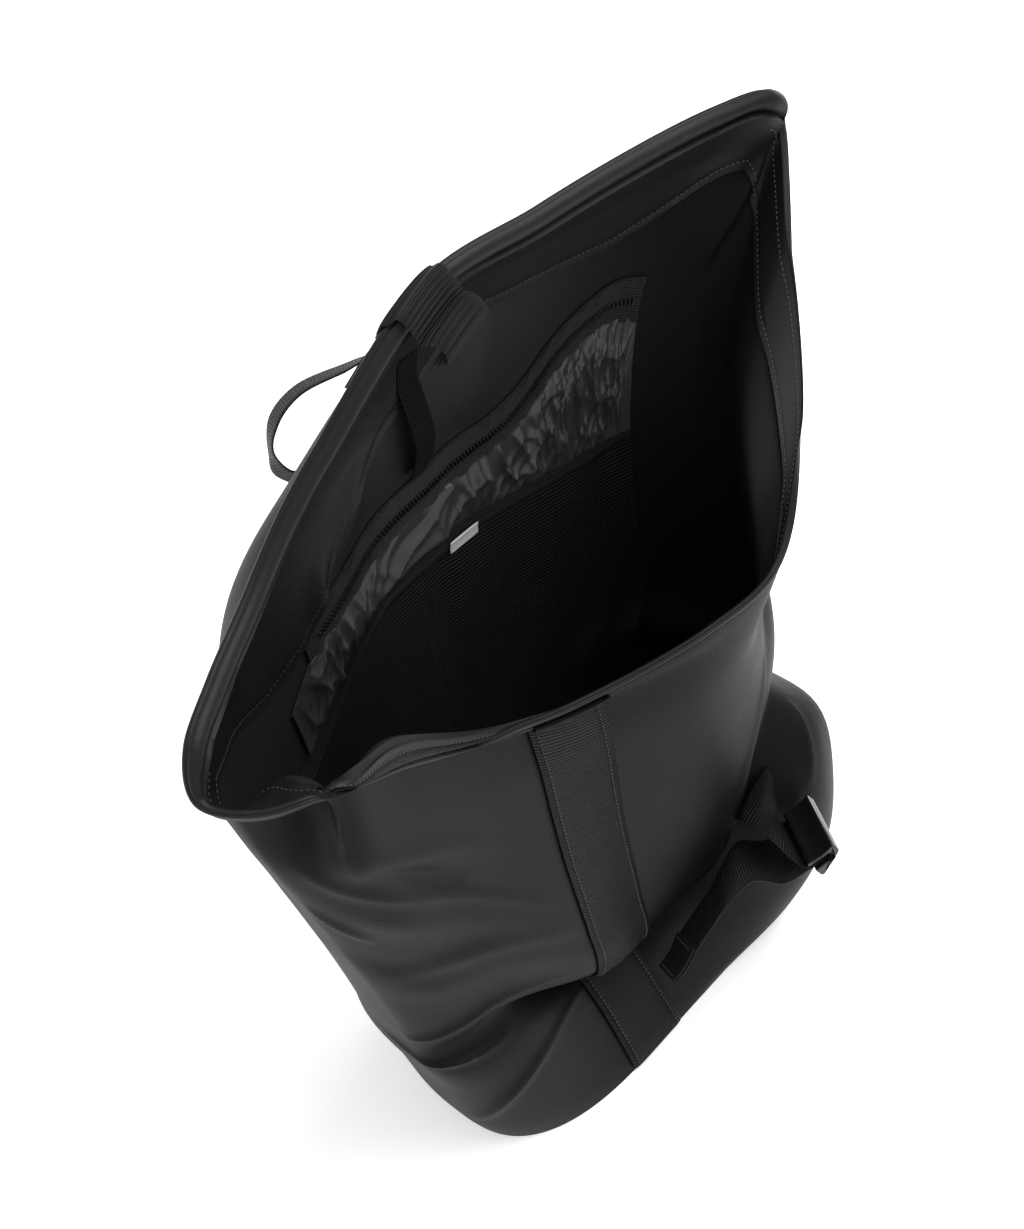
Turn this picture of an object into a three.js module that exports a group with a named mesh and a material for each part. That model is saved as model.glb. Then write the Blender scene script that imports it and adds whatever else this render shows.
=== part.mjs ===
// Rolltop backpack of coated fabric, standing open, with its front slumped over a deep fold.
// Millimetres, +Z up, the wearer's back towards +Y, origin at the middle of the base on the floor.
import * as THREE from "three";

// Driving sizes of the bag
const bodyWidth = 340; // widest girth of the body, side to side
const bodyDepth = 165; // front to back, without the straps
const mouthWidth = 484; // the mouth pulled flat, corner to corner
const mouthDepth = 130; // the open mouth, front rim to back rim
const backHeight = 580; // floor to the back rim
const frontHeight = 350; // floor to the slumped front rim
const leftHeight = 455; // floor to the left corner of the mouth
const rightHeight = 556; // floor to the right corner of the mouth
const fabricWall = 2;
const seat = 0.35; // gap between pieces that lie on each other
const lay = 0.9; // the same where a flat-faced piece bends over the shell's facets

// Widths and thicknesses of the trimmings
const wideWebbing = 50;
const strapWebbing = 40;
const handleWebbing = 20;
const loopWebbing = 16;
const webbingThick = 1.8;
const rollThick = 12; // the rolled hem along the back of the mouth
const rollThin = 5; // and along its front
const tabTail = 42; // how far the rim tab runs down the outside
const facingThick = 1.4;
const sleevePad = 8;
const panelPad = 12;
const shoulderPad = 14;
const shoulderWidth = 68;
const lowerWebbing = 25;
const zipWidth = 30;
const zipCoilWidth = 6;
const zipCoilThick = 1.6;
const labelLength = 24;
const labelHeight = 9;
const buckleWidth = 46; // along the slot that holds the strap
const buckleLength = 22;
const buckleThin = 9;
const buckleThick = 19; // at the side where the strap goes in

const stations = 60; // points round the bag

// Sections of the body from the floor up. left and right are shares of bodyWidth; front, back and the
// extra reach of the two front corners shares of bodyDepth; atFront, atLeft, atRight and atBack are heights
// as shares of that side's height; the square values round each quarter less the larger they are.
const sections = [
  { left: 0.358, right: 0.475, front: 0.412, cornerLeft: 0, cornerRight: 0.01, back: 0.58, atFront: 0,
    atLeft: 0, atRight: 0, atBack: 0, squareLeft: 2.6, squareRight: 5.5, squareBack: 2.6 },
  { left: 0.38, right: 0.55, front: 0.375, cornerLeft: 0.02, cornerRight: 0.13, back: 0.59, atFront: 0.043,
    atLeft: 0.048, atRight: 0.04, atBack: 0.041, squareLeft: 2.7, squareRight: 5.5, squareBack: 2.6 },
  { left: 0.412, right: 0.615, front: 0.255, cornerLeft: 0.09, cornerRight: 0.32, back: 0.595, atFront: 0.137,
    atLeft: 0.16, atRight: 0.14, atBack: 0.155, squareLeft: 2.8, squareRight: 4.8, squareBack: 2.8 },
  { left: 0.44, right: 0.6, front: 0.15, cornerLeft: 0.14, cornerRight: 0.38, back: 0.6, atFront: 0.195,
    atLeft: 0.24, atRight: 0.28, atBack: 0.26, squareLeft: 2.8, squareRight: 4.2, squareBack: 3.2 },
  { left: 0.45, right: 0.53, front: -0.02, cornerLeft: 0.21, cornerRight: 0.34, back: 0.6, atFront: 0.235,
    atLeft: 0.295, atRight: 0.35, atBack: 0.345, squareLeft: 2.6, squareRight: 3.2, squareBack: 3.2 },
  { left: 0.463, right: 0.56, front: 0.27, cornerLeft: -0.02, cornerRight: 0.08, back: 0.59, atFront: 0.275,
    atLeft: 0.35, atRight: 0.41, atBack: 0.43, squareLeft: 2.4, squareRight: 3, squareBack: 3.2 },
  { left: 0.495, right: 0.56, front: 0.27, cornerLeft: -0.03, cornerRight: 0.11, back: 0.625, atFront: 0.43,
    atLeft: 0.484, atRight: 0.54, atBack: 0.57, squareLeft: 2.3, squareRight: 2.8, squareBack: 3.2 },
  { left: 0.54, right: 0.57, front: 0.23, cornerLeft: -0.05, cornerRight: 0.13, back: 0.65, atFront: 0.63,
    atLeft: 0.66, atRight: 0.69, atBack: 0.73, squareLeft: 2.3, squareRight: 2.6, squareBack: 3.2 },
  { left: 0.588, right: 0.615, front: 0.2, cornerLeft: -0.05, cornerRight: 0.13, back: 0.6, atFront: 0.83,
    atLeft: 0.835, atRight: 0.85, atBack: 0.87, squareLeft: 2.3, squareRight: 2.4, squareBack: 3 },
  { left: 0.656, right: 0.77, front: 0.2, cornerLeft: -0.05, cornerRight: 0.13, back: 0.45, atFront: 1,
    atLeft: 1, atRight: 1, atBack: 1, squareLeft: 2.2, squareRight: 2.2, squareBack: 2.4 },
];
const rimLevel = sections.length - 1;
const lipLevel = 5;
const valleyLevel = 4;

// The mouth's edge, a row every 18 degrees from the right corner round the back: across is a share of
// half of mouthWidth, deep a share of mouthDepth, high a share of backHeight.
const mouthLine = [
  { across: 1.079, deep: 0.208, high: 0.952 },
  { across: 1.033, deep: 0.262, high: 0.99 },
  { across: 0.905, deep: 0.362, high: 0.993 },
  { across: 0.686, deep: 0.445, high: 0.996 },
  { across: 0.397, deep: 0.505, high: 1 },
  { across: 0.05, deep: 0.54, high: 1 },
  { across: -0.302, deep: 0.5, high: 0.907 },
  { across: -0.554, deep: 0.446, high: 0.841 },
  { across: -0.752, deep: 0.369, high: 0.819 },
  { across: -0.885, deep: 0.275, high: 0.803 },
  { across: -0.948, deep: 0.15, high: 0.775 },
  { across: -0.893, deep: -0.054, high: 0.772 },
  { across: -0.769, deep: -0.215, high: 0.772 },
  { across: -0.554, deep: -0.162, high: 0.717 },
  { across: -0.298, deep: -0.146, high: 0.638 },
  { across: -0.02, deep: -0.223, high: 0.59 },
  { across: 0.314, deep: -0.462, high: 0.607 },
  { across: 0.587, deep: -0.469, high: 0.61 },
  { across: 0.785, deep: -0.3, high: 0.698 },
  { across: 0.884, deep: -0.1, high: 0.884 },
];

// Soft folds of the cloth: turn and level place the middle, reach is half its length in degrees, spread
// half its width in levels, slant how many levels it climbs over its length, depth a share of bodyDepth.
const folds = [
  { turn: 116, level: 8.25, reach: 24, spread: 0.75, slant: 0, depth: 0.2 },
  { turn: 222, level: 6.9, reach: 26, spread: 0.28, slant: -1.1, depth: 0.045 },
  { turn: 215, level: 6.2, reach: 22, spread: 0.24, slant: -0.8, depth: -0.03 },
  { turn: 232, level: 5.9, reach: 28, spread: 0.26, slant: -0.5, depth: 0.04 },
  { turn: 207, level: 8.5, reach: 12, spread: 0.35, slant: 0.5, depth: -0.05 },
  { turn: 345, level: 2.9, reach: 14, spread: 0.3, slant: 0.4, depth: 0.035 },
  { turn: 330, level: 6.4, reach: 20, spread: 0.5, slant: 1.2, depth: -0.03 },
];

const radians = THREE.MathUtils.degToRad;
const mix = THREE.MathUtils.lerp;
const smooth = THREE.MathUtils.smoothstep;

// Smooth curve through the rows' values of one column, where at is a row number that may lie between rows.
function alongRows(rows, column, at, loop) {
  const last = rows.length - 1;
  const row = (i) => (loop ? rows[((i % rows.length) + rows.length) % rows.length]
    : rows[THREE.MathUtils.clamp(i, 0, last)])[column];
  const i = loop ? Math.floor(at) : Math.min(Math.floor(at), last - 1);
  const t = at - i;
  const [a, b, c, d] = [row(i - 1), row(i), row(i + 1), row(i + 2)];
  const slopeB = (c - a) / 2;
  const slopeC = (d - b) / 2;
  return (1 + 2 * t) * (1 - t) ** 2 * b + t * (1 - t) ** 2 * slopeB
    + t * t * (3 - 2 * t) * c + t * t * (t - 1) * slopeC;
}

// A point of the mouth's edge at a turn in degrees.
function mouthPoint(turn) {
  const at = (turn / 360) * mouthLine.length;
  return new THREE.Vector3(
    alongRows(mouthLine, "across", at, true) * mouthWidth / 2,
    alongRows(mouthLine, "deep", at, true) * mouthDepth,
    alongRows(mouthLine, "high", at, true) * backHeight,
  );
}

// A point of the lofted sections: a superellipse whose four sides have their own reach and height.
function sectionPoint(turn, level) {
  const s = (column) => alongRows(sections, column, level, false);
  const c = Math.cos(radians(turn));
  const d = Math.sin(radians(turn));
  const isFront = d < 0;
  const isRight = c > 0;
  const square = isFront ? (isRight ? s("squareRight") : s("squareLeft")) : s("squareBack");
  const px = Math.sign(c) * Math.abs(c) ** (2 / square);
  const py = Math.sign(d) * Math.abs(d) ** (2 / square);
  const x = px * bodyWidth * (isRight ? s("right") : s("left"));
  let y = py * bodyDepth * (isFront ? s("front") : s("back"));
  const corner = s(isRight ? "cornerRight" : "cornerLeft") * smooth(Math.abs(px), 0.05, 0.85);
  if (isFront) y += py * bodyDepth * corner;
  const middleHeight = isFront ? frontHeight * s("atFront") : backHeight * s("atBack");
  const sideHeight = isRight ? rightHeight * s("atRight") : leftHeight * s("atLeft");
  const toSide = isFront && !isRight ? smooth(Math.abs(px), 0, 0.75)
    : smooth(Math.abs(px), isFront ? 0.35 : 0.15, 1);
  return new THREE.Vector3(x, y, mix(middleHeight, sideHeight, toSide));
}

// The shell's outer surface: the loft, drawn to the mouth's edge over the upper sections.
function shellSurface(turn, level) {
  const point = sectionPoint(turn, level);
  const pull = smooth(level, lipLevel, rimLevel);
  if (pull > 0) {
    const atRim = sectionPoint(turn, rimLevel);
    point.addScaledVector(mouthPoint(turn).sub(atRim), pull);
  }
  return point;
}

// The way out of the shell at a point, square to its surface.
function shellOut(turn, level) {
  const low = Math.max(level - 0.06, 0);
  const high = Math.min(level + 0.06, rimLevel);
  const round = shellSurface(turn + 1.5, level).sub(shellSurface(turn - 1.5, level));
  const up = shellSurface(turn, high).sub(shellSurface(turn, low));
  return round.cross(up).normalize();
}

// The height of the soft folds above the smooth surface.
function foldHeight(turn, level) {
  let height = 0;
  for (const f of folds) {
    const along = (turn - f.turn) / f.reach;
    const across = (level - f.level - f.slant * along / 2) / f.spread;
    height += bodyDepth * f.depth * Math.exp(-along * along - across * across);
  }
  return height;
}

// The shell's facets: a grid of points with their ways out, levels up and stations round.
const shellLevels = [
  0, 0.3, 0.8, 1.6, 2.4, 3.1, 3.5, valleyLevel - 0.2, valleyLevel, 4.3, 4.6, lipLevel, 5.5, 6.2, 6.9,
  7.4, 7.85, 8.3, 8.7, rimLevel,
];
const stationTurn = 360 / stations;
const facets = shellLevels.map((level) => Array.from({ length: stations }, (_, i) => {
  const turn = i * stationTurn;
  const out = shellOut(turn, level);
  return { at: shellSurface(turn, level).addScaledVector(out, foldHeight(turn, level)), out };
}));
for (const p of facets[0]) p.at.z = 0;

// A point on the shell's facets, lift millimetres off the outer surface. Inside, where lift is negative,
// the facets are split along their other diagonal.
function shellPoint(turn, level, lift = 0) {
  const row = Math.max(shellLevels.findLastIndex((l, i) => level >= l && i < shellLevels.length - 1), 0);
  const t = (level - shellLevels[row]) / (shellLevels[row + 1] - shellLevels[row]);
  const column = Math.floor(turn / stationTurn);
  const s = turn / stationTurn - column;
  const corner = (i, j) => {
    const facet = facets[row + i][(column + j) % stations];
    return facet.at.clone().addScaledVector(facet.out, lift);
  };
  const corners = [corner(0, 0), corner(0, 1), corner(1, 1), corner(1, 0)];
  const inside = s + t <= 1 ? [1 - s - t, s, 0, t] : [0, 1 - t, s + t - 1, 1 - s];
  const outside = t <= s ? [1 - s, s - t, t, 0] : [1 - t, 0, s, t - s];
  const shares = lift < 0 ? inside : outside;
  return corners.reduce((sum, p, i) => sum.addScaledVector(p, shares[i]), new THREE.Vector3());
}

// A closed solid through rings of points. ends says how the first and last ring are closed: "fan" from
// their middle, "strip" across a thin flat ring, or "loop" when the last ring meets the first.
function throughRings(rings, ends) {
  const size = rings[0].length;
  const points = rings.flat();
  const faces = [];
  const spans = ends === "loop" ? rings.length : rings.length - 1;
  for (let i = 0; i < spans; i++) {
    for (let j = 0; j < size; j++) {
      const a = i * size + j;
      const b = i * size + (j + 1) % size;
      const c = ((i + 1) % rings.length) * size + (j + 1) % size;
      const d = ((i + 1) % rings.length) * size + j;
      faces.push(a, b, c, a, c, d);
    }
  }
  if (ends === "loop") return outward(points, faces);
  for (const first of [0, (rings.length - 1) * size]) {
    const turned = first === 0 ? ([a, b, c]) => [b, a, c] : (face) => face;
    if (ends === "fan") {
      const ring = points.slice(first, first + size);
      points.push(ring.reduce((sum, p) => sum.add(p), new THREE.Vector3()).divideScalar(size));
      for (let j = 0; j < size; j++) {
        faces.push(...turned([first + j, first + (j + 1) % size, points.length - 1]));
      }
    } else {
      for (let j = 0; j < size / 2 - 1; j++) {
        const [a, b, c, d] = [j, j + 1, size - 2 - j, size - 1 - j].map((k) => first + k);
        faces.push(...turned([a, b, c]), ...turned([a, c, d]));
      }
    }
  }
  return outward(points, faces);
}

// Turns a closed geometry the right way out.
function outward(points, faces) {
  let volume = 0;
  for (let i = 0; i < faces.length; i += 3) {
    const [a, b, c] = faces.slice(i, i + 3).map((k) => points[k]);
    volume += a.dot(b.clone().cross(c));
  }
  if (volume < 0) faces.reverse();
  const geometry = new THREE.BufferGeometry().setFromPoints(points).setIndex(faces);
  geometry.computeVertexNormals();
  return geometry;
}

// The numbers from 0 to 1 in equal steps.
const steps = (count) => Array.from({ length: count + 1 }, (_, i) => i / count);

// A closed sheet whose two faces are at(u, v, 0) and at(u, v, 1), for u and v from 0 to 1.
function sheet(at, across, along) {
  const rings = steps(along).map((v) => [
    ...steps(across).map((u) => at(u, v, 0)),
    ...steps(across).reverse().map((u) => at(u, v, 1)),
  ]);
  return throughRings(rings, "strip");
}

// The corners of a webbing's section, as shares of half its width and half its thickness.
const flatCorners = [[-1, -1], [0, -1], [1, -1], [1, 1], [0, 1], [-1, 1]];

// A webbing of a width and thickness along a route of places, each with the way from its one edge to the
// other. before holds rings of corners that lead up to the route.
function ribbon(places, width, thick, count, before = []) {
  const middle = new THREE.CatmullRomCurve3(places.map((p) => p.at));
  const across = new THREE.CatmullRomCurve3(places.map((p) => p.across));
  const rings = steps(count).map((t) => {
    const centre = middle.getPoint(t);
    const forward = middle.getTangent(t);
    const side = across.getPoint(t).normalize();
    const face = forward.cross(side).normalize();
    return flatCorners.map(([u, v]) =>
      centre.clone().addScaledVector(side, u * width / 2).addScaledVector(face, v * thick / 2));
  });
  return throughRings([...before, ...rings], "strip");
}

// The turn in degrees where the front of the shell has a given x at a level.
function turnAtX(x, level) {
  let [low, high] = [200, 340];
  for (let i = 0; i < 24; i++) {
    const middle = (low + high) / 2;
    if (shellSurface(middle, level).x < x) low = middle;
    else high = middle;
  }
  return (low + high) / 2;
}

// The level that lies a length in millimetres below the rim at a turn.
function levelBelowRim(turn, length) {
  const step = 0.02;
  let level = rimLevel;
  let here = shellSurface(turn, level);
  for (let run = 0; run < length && level > lipLevel;) {
    const next = shellSurface(turn, level - step);
    run += next.distanceTo(here);
    level -= step;
    here = next;
  }
  return level;
}

const group = new THREE.Group();

// Adds one named piece with its own finish.
function piece(name, geometry, colour, roughness, metalness = 0) {
  const finish = new THREE.MeshStandardMaterial({ color: colour, roughness, metalness });
  const mesh = new THREE.Mesh(geometry, finish);
  mesh.name = name;
  group.add(mesh);
  return mesh;
}

const gloss = 0x0c0c0d;
const pale = 0xd8d9da;
const coated = 0x2d2d2e;
const webbing = 0x161617;
const lining = 0x1b1b1c;

// The shell: outer rings upwards, then inner rings down to the inner floor.
const shellRing = (level, lift) => facets[0].map((_, i) => shellPoint(i * stationTurn, level, lift));
const innerRings = shellLevels.slice(1).reverse().map((level) => shellRing(level, -fabricWall));
for (const p of innerRings.at(-1)) p.z = fabricWall;
const outerRings = shellLevels.map((level) => shellRing(level, 0));
piece("bag_shell", throughRings([...outerRings, ...innerRings], "fan"), coated, 0.55);

// The hem: a roll that sits on the shell's edge, thick along the back and thin along the front, and a
// facing that hangs from it down the inside.
const linedAt = -(fabricWall + seat); // where whatever lies on the inside of the shell begins
const backness = (turn) => smooth(Math.sin(radians(turn)), -0.15, 0.35);
const rollAt = (turn) => mix(rollThin, rollThick, backness(turn));
const facingLevels = shellLevels.slice(-3);
const rimFrames = facets.at(-1).map(({ at, out }, i) => {
  const up = at.clone().sub(facets.at(-2)[i].at);
  up.addScaledVector(out, -up.dot(out)).normalize();
  return { at, out, up };
});

// A point by the shell's edge at a turn: inward from its outer face and high above the edge.
function rimPoint(turn, inward, high) {
  const column = Math.floor(turn / stationTurn);
  const [here, next] = [column, column + 1].map((i) => {
    const frame = rimFrames[i % stations];
    return frame.at.clone().addScaledVector(frame.out, -inward).addScaledVector(frame.up, high);
  });
  return here.lerp(next, turn / stationTurn - column);
}
const rollCentre = (turn) => fabricWall / 2 + 0.1 * rollAt(turn);
function facingSection(turn) {
  const roll = rollAt(turn) / 2;
  const round = [-40, 0, 35, 75, 115, 155, 190, 225].map(radians).map((angle) =>
    rimPoint(turn, rollCentre(turn) + roll * Math.cos(angle), seat + roll + roll * Math.sin(angle)));
  return [
    ...facingLevels.map((level) => shellPoint(turn, level, linedAt - facingThick)),
    ...round,
    rimPoint(turn, -linedAt, seat),
    ...facingLevels.toReversed().map((level) => shellPoint(turn, level, linedAt)),
  ];
}
const facingRings = facets[0].map((_, i) => facingSection(i * stationTurn));
piece("mouth_facing", throughRings(facingRings, "loop"), coated, 0.5);

// The front webbing: sewn flat to the shell from the rim, through the fold and down to the base.
const stripLay = 1.2; // its gap to the shell, which folds sharply under it
const stripCentre = [
  { level: 0.25, aside: 0 },
  { level: 3, aside: -0.04 },
  { level: 5, aside: -0.1 },
  { level: 7, aside: -0.2 },
  { level: rimLevel, aside: -0.24 },
];
const stripLevels = [stripCentre[0].level, ...shellLevels.slice(1, -1), rimLevel - 0.02];
piece("front_webbing", sheet((u, v, side) => {
  const level = stripLevels[Math.round(v * (stripLevels.length - 1))];
  const row = stripCentre.findLastIndex((r, i) => level >= r.level && i < stripCentre.length - 1);
  const [from, to] = [stripCentre[row], stripCentre[row + 1]];
  const aside = mix(from.aside, to.aside, (level - from.level) / (to.level - from.level));
  const turn = turnAtX((aside + u - 0.5) * wideWebbing, level);
  return shellPoint(turn, level, stripLay + side * webbingThick);
}, 4, stripLevels.length - 1), webbing, 0.75);

// The rim tab: webbing that comes up the outside, folds over the roll and stands up again inside it.
const tabTurn = 91.5;
const tabRoute = [
  { inward: 0.18, high: 1.58 },
  { inward: 1.15, high: 1.2 },
  { inward: 1.5, high: 0.8 },
  { inward: 1.85, high: 1.15 },
  { inward: 2.5, high: 1.2 },
  { inward: 2.85, high: 0.75 },
  { inward: 2.3, high: 0.3 },
];
const tabHalf = 4; // half the tab's width in degrees of turn
const tabReach = (turn) => rollAt(turn) / 2 + seat + webbingThick / 2;
const tabCurve = (turn) => new THREE.CatmullRomCurve3([
  ...[1, 0.55, 0.2].map((share) =>
    shellPoint(turn, levelBelowRim(tabTurn, share * tabTail), lay + webbingThick / 2)),
  ...[185, 150, 115].map(radians).map((angle) => rimPoint(turn,
    rollCentre(turn) + tabReach(turn) * Math.cos(angle),
    seat + rollAt(turn) / 2 + tabReach(turn) * Math.sin(angle))),
  ...tabRoute.map((r) => rimPoint(turn, r.inward * rollThick, r.high * rollThick)),
]);
const tabTurns = [tabTurn + tabHalf, tabTurn - tabTurn % stationTurn, tabTurn - tabHalf];
const tabRows = 40;
const tabLines = tabTurns.map((turn) => {
  const curve = tabCurve(turn);
  return steps(tabRows).map((t) => ({ at: curve.getPoint(t), forward: curve.getTangent(t) }));
});
const tabAcross = tabLines.at(-1)[0].at.clone().sub(tabLines[0][0].at).normalize();
piece("rim_tab", sheet((u, v, side) => {
  const { at, forward } = tabLines[Math.round(u * (tabLines.length - 1))][Math.round(v * tabRows)];
  const away = tabAcross.clone().cross(forward).normalize();
  return at.clone().addScaledVector(away, (side - 0.5) * webbingThick);
}, tabLines.length - 1, tabRows), webbing, 0.7);

// A place as shares of the body: across of bodyWidth, deep of bodyDepth, high of backHeight.
const place = (r) => new THREE.Vector3(r.across * bodyWidth, r.deep * bodyDepth, r.high * backHeight);
const placeRow = (r) => ({ at: place(r), across: new THREE.Vector3(...r.edge).normalize() });

// The grab handle: sewn to the back below the rim at both ends and arched away from it.
const handleArch = [
  { across: -0.176, deep: 0.75, high: 0.835, edge: [0, -0.8, 0.6] },
  { across: -0.167, deep: 0.815, high: 0.847, edge: [-0.35, -0.68, 0.64] },
  { across: -0.132, deep: 0.861, high: 0.864, edge: [-0.38, -0.82, 0.42] },
  { across: -0.077, deep: 0.856, high: 0.878, edge: [-0.45, -0.79, 0.42] },
  { across: -0.003, deep: 0.785, high: 0.885, edge: [-0.55, -0.68, 0.46] },
  { across: 0.04, deep: 0.74, high: 0.887, edge: [-0.65, -0.5, 0.55] },
];
const handleEnds = [{ turn: 98.5, level: 7.95 }, { turn: 84, level: 7.85 }];
const shellUp = (turn, level) => shellPoint(turn, level + 0.1).sub(shellPoint(turn, level - 0.1)).normalize();
const [handleStart, handleEnd] = handleEnds.map((r) => ({
  at: shellPoint(r.turn, r.level, 0.65 * webbingThick), across: shellUp(r.turn, r.level),
}));
piece("grab_handle", ribbon([
  handleStart, ...handleArch.map(placeRow), handleEnd,
], handleWebbing, webbingThick, 28), webbing, 0.75);

// A sheet that lies on the shell's facets from one turn to another: its columns stand on the stations
// between, and rows(turn) gives its levels. near and far are its two faces' lifts.
function clung(from, to, rows, near, far) {
  const between = facets[0].map((_, i) => i * stationTurn).filter((t) => t > from + 1 && t < to - 1);
  const turns = near < 0 ? [to, ...between.toReversed(), from] : [from, ...between, to];
  const count = rows(from).length - 1;
  return sheet((u, v, side) => {
    const turn = turns[Math.round(u * (turns.length - 1))];
    return shellPoint(turn, rows(turn)[Math.round(v * count)], side ? far(turn, v) : near);
  }, turns.length - 1, count);
}
const levelsBetween = (low, high) => [
  low, ...shellLevels.filter((level) => level > low + 0.02 && level < high - 0.02), high,
];

// The padded laptop sleeve on the inner back wall, open at the top, with a bound edge along it.
const sleeveFrom = 34;
const sleeveTo = 146;
const sleeveBottom = 0.9;
const sleeveMiddle = 0.45; // how far along the sleeve its top edge is lowest, at the label
const sleeveLow = 6.42;
const sleeveRise = 0.3; // levels by which the top edge climbs to both sides
const bindingTall = 0.05;
const bindingGap = 0.012;
const alongSleeve = (turn) => (turn - sleeveFrom) / (sleeveTo - sleeveFrom);
const sleeveLevel = (turn) =>
  sleeveLow + sleeveRise * smooth(Math.abs(alongSleeve(turn) - sleeveMiddle), 0, 0.55);
const sleeveEdge = 0.35; // the padding's share left at its two upright edges
const padAt = (turn) => sleevePad
  * mix(sleeveEdge, 1, Math.min(1, 6 * Math.min(alongSleeve(turn), 1 - alongSleeve(turn))));
const sleeveRows = levelsBetween(sleeveBottom, sleeveLow).slice(0, -1);
piece("laptop_sleeve", clung(sleeveFrom, sleeveTo, (turn) => [...sleeveRows, sleeveLevel(turn)], linedAt,
  (turn, v) => linedAt - padAt(turn) * mix(0.5, 1, Math.min(1, v * 4))), lining, 0.95);
piece("sleeve_binding", clung(sleeveFrom, sleeveTo,
  (turn) => [sleeveLevel(turn) + bindingGap, sleeveLevel(turn) + bindingGap + bindingTall],
  linedAt, (turn) => linedAt - padAt(turn)), webbing, 0.9);

// The zip pocket above the sleeve: light fabric, a zip tape along its top edge and the coil on the tape.
const zipFrom = 34;
const zipTo = 110;
const zipLine = [7.8, 7.84, 7.7, 7.32, 7.12, 7.1, 7.4].map((level) => ({ level }));
const zipLevel = (turn) =>
  alongRows(zipLine, "level", (turn - zipFrom) / (zipTo - zipFrom) * (zipLine.length - 1), false);
const levelLength = 80; // near the zip one level is about this long
const zipHalf = zipWidth / 2 / levelLength;
const coilHalf = zipCoilWidth / 2 / levelLength;
const onLining = -(fabricWall + lay);
const bandOf = (half) => (turn) => [-half, 0, half].map((by) => zipLevel(turn) + by);
const tapeTop = onLining - facingThick;
const onTape = tapeTop - seat;
piece("zip_tape", clung(zipFrom, zipTo, bandOf(zipHalf), onLining, () => tapeTop), webbing, 0.9);
piece("zip_coil", clung(zipFrom + 2, zipTo - 2, bandOf(coilHalf), onTape, () => onTape - zipCoilThick),
  webbing, 0.5);
piece("pocket_fabric", clung(zipFrom, zipTo, (turn) => {
  const low = sleeveLevel(turn) + 2 * bindingGap + bindingTall;
  const high = zipLevel(turn) - zipHalf - bindingGap;
  return steps(4).map((v) => mix(low, high, v));
}, onLining, () => onLining - facingThick), lining, 0.6);

// The hanging loop: narrow webbing from under the facing down to the zip tape.
const loopTurn = 89.4;
piece("hang_loop", ribbon([
  { level: 8.25, lift: 0.1 },
  { level: 8.1, lift: 0.25 },
  { level: 7.75, lift: 0.4 },
  { level: 7.5, lift: 0.25 },
  { level: 7.36, lift: 0 },
].map((r) => ({
  at: shellPoint(loopTurn, r.level, onLining - webbingThick / 2 - r.lift * loopWebbing),
  across: new THREE.Vector3(1, 0, 0),
})), loopWebbing, webbingThick, 14), webbing, 0.8);

// The small folded label caught in the middle of the sleeve's bound edge.
const labelTurn = 86.2;
{
  const level = sleeveLevel(labelTurn);
  const top = shellPoint(labelTurn, level, linedAt - sleevePad - seat);
  const along = shellPoint(labelTurn - 2, level).sub(shellPoint(labelTurn + 2, level)).normalize();
  const inward = shellOut(labelTurn, level).negate();
  const label = [[0, 0], [0.1, 0.5], [0.35, 1]].map(([lean, high]) => ({
    at: top.clone().addScaledVector(inward, lean * labelHeight * 0.4 + webbingThick / 2)
      .add(new THREE.Vector3(0, 0, (high - 0.3) * labelHeight)),
    across: along,
  }));
  piece("inner_label", ribbon(label, labelLength, 1, 4), pale, 0.6);
}

// The padded back panel, the two shoulder straps that hang from it and their webbing to the base.
const panelFrom = 60;
const panelTo = 120;
piece("back_panel", clung(panelFrom, panelTo, () => levelsBetween(0.9, 7.05), seat, (turn, v) => {
  const u = (turn - panelFrom) / (panelTo - panelFrom);
  return seat + panelPad * Math.min(1, 5 * Math.min(u, 1 - u, v, 1 - v) + 0.3);
}), lining, 0.9);
const strapTurn = 18; // how far each shoulder strap lies from the middle of the back
// Each row: degrees further out, level, and how many paddings it hangs off the back.
const strapRoute = [
  { wider: 0, level: 7.75, lift: 0 },
  { wider: 0.3, level: 7.6, lift: 0.6 },
  { wider: 0.6, level: 7.3, lift: 1.9 },
  { wider: 1.4, level: 6.8, lift: 2.6 },
  { wider: 2, level: 6.1, lift: 2.7 },
  { wider: 3, level: 5.1, lift: 2.3 },
  { wider: 5, level: 4.1, lift: 1.6 },
  { wider: 7, level: 3.3, lift: 1.25 },
];
const lowerRoute = [
  { wider: 7.3, level: 3.2, lift: 1.6 },
  { wider: 12, level: 2.4, lift: 1.3 },
  { wider: 18, level: 1.5, lift: 0.75 },
  { wider: 21, level: 0.9, lift: 0.25 },
  { wider: 22, level: 0.6, lift: 0 },
];

// A strap that hangs off the back: its columns follow the shell, lift shoulder paddings off it.
function hung(route, sign, width, thick, count, rows) {
  return sheet((u, v, side) => {
    const at = v * (route.length - 1);
    const level = alongRows(route, "level", at, false);
    const middle = 90 + sign * (strapTurn + alongRows(route, "wider", at, false));
    const degree = shellPoint(middle + 2, level).distanceTo(shellPoint(middle - 2, level)) / 4;
    const turn = middle + (u - 0.5) * width / degree;
    const lift = lay + alongRows(route, "lift", at, false) * shoulderPad;
    const inwards = Math.min(1, 5 * Math.min(u, 1 - u, v * 2, 2 - v * 2));
    const crown = thick === shoulderPad ? mix(0.45, 1, inwards) : 1;
    return shellPoint(turn, level, Math.max(lift, lay) + side * thick * crown);
  }, count, rows);
}
for (const [side, sign] of [["left", 1], ["right", -1]]) {
  piece("shoulder_strap_" + side, hung(strapRoute, sign, shoulderWidth, shoulderPad, 4, 14), lining, 0.9);
  piece("lower_webbing_" + side, hung(lowerRoute, sign, lowerWebbing, webbingThick, 2, 9), webbing, 0.8);
}

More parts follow.
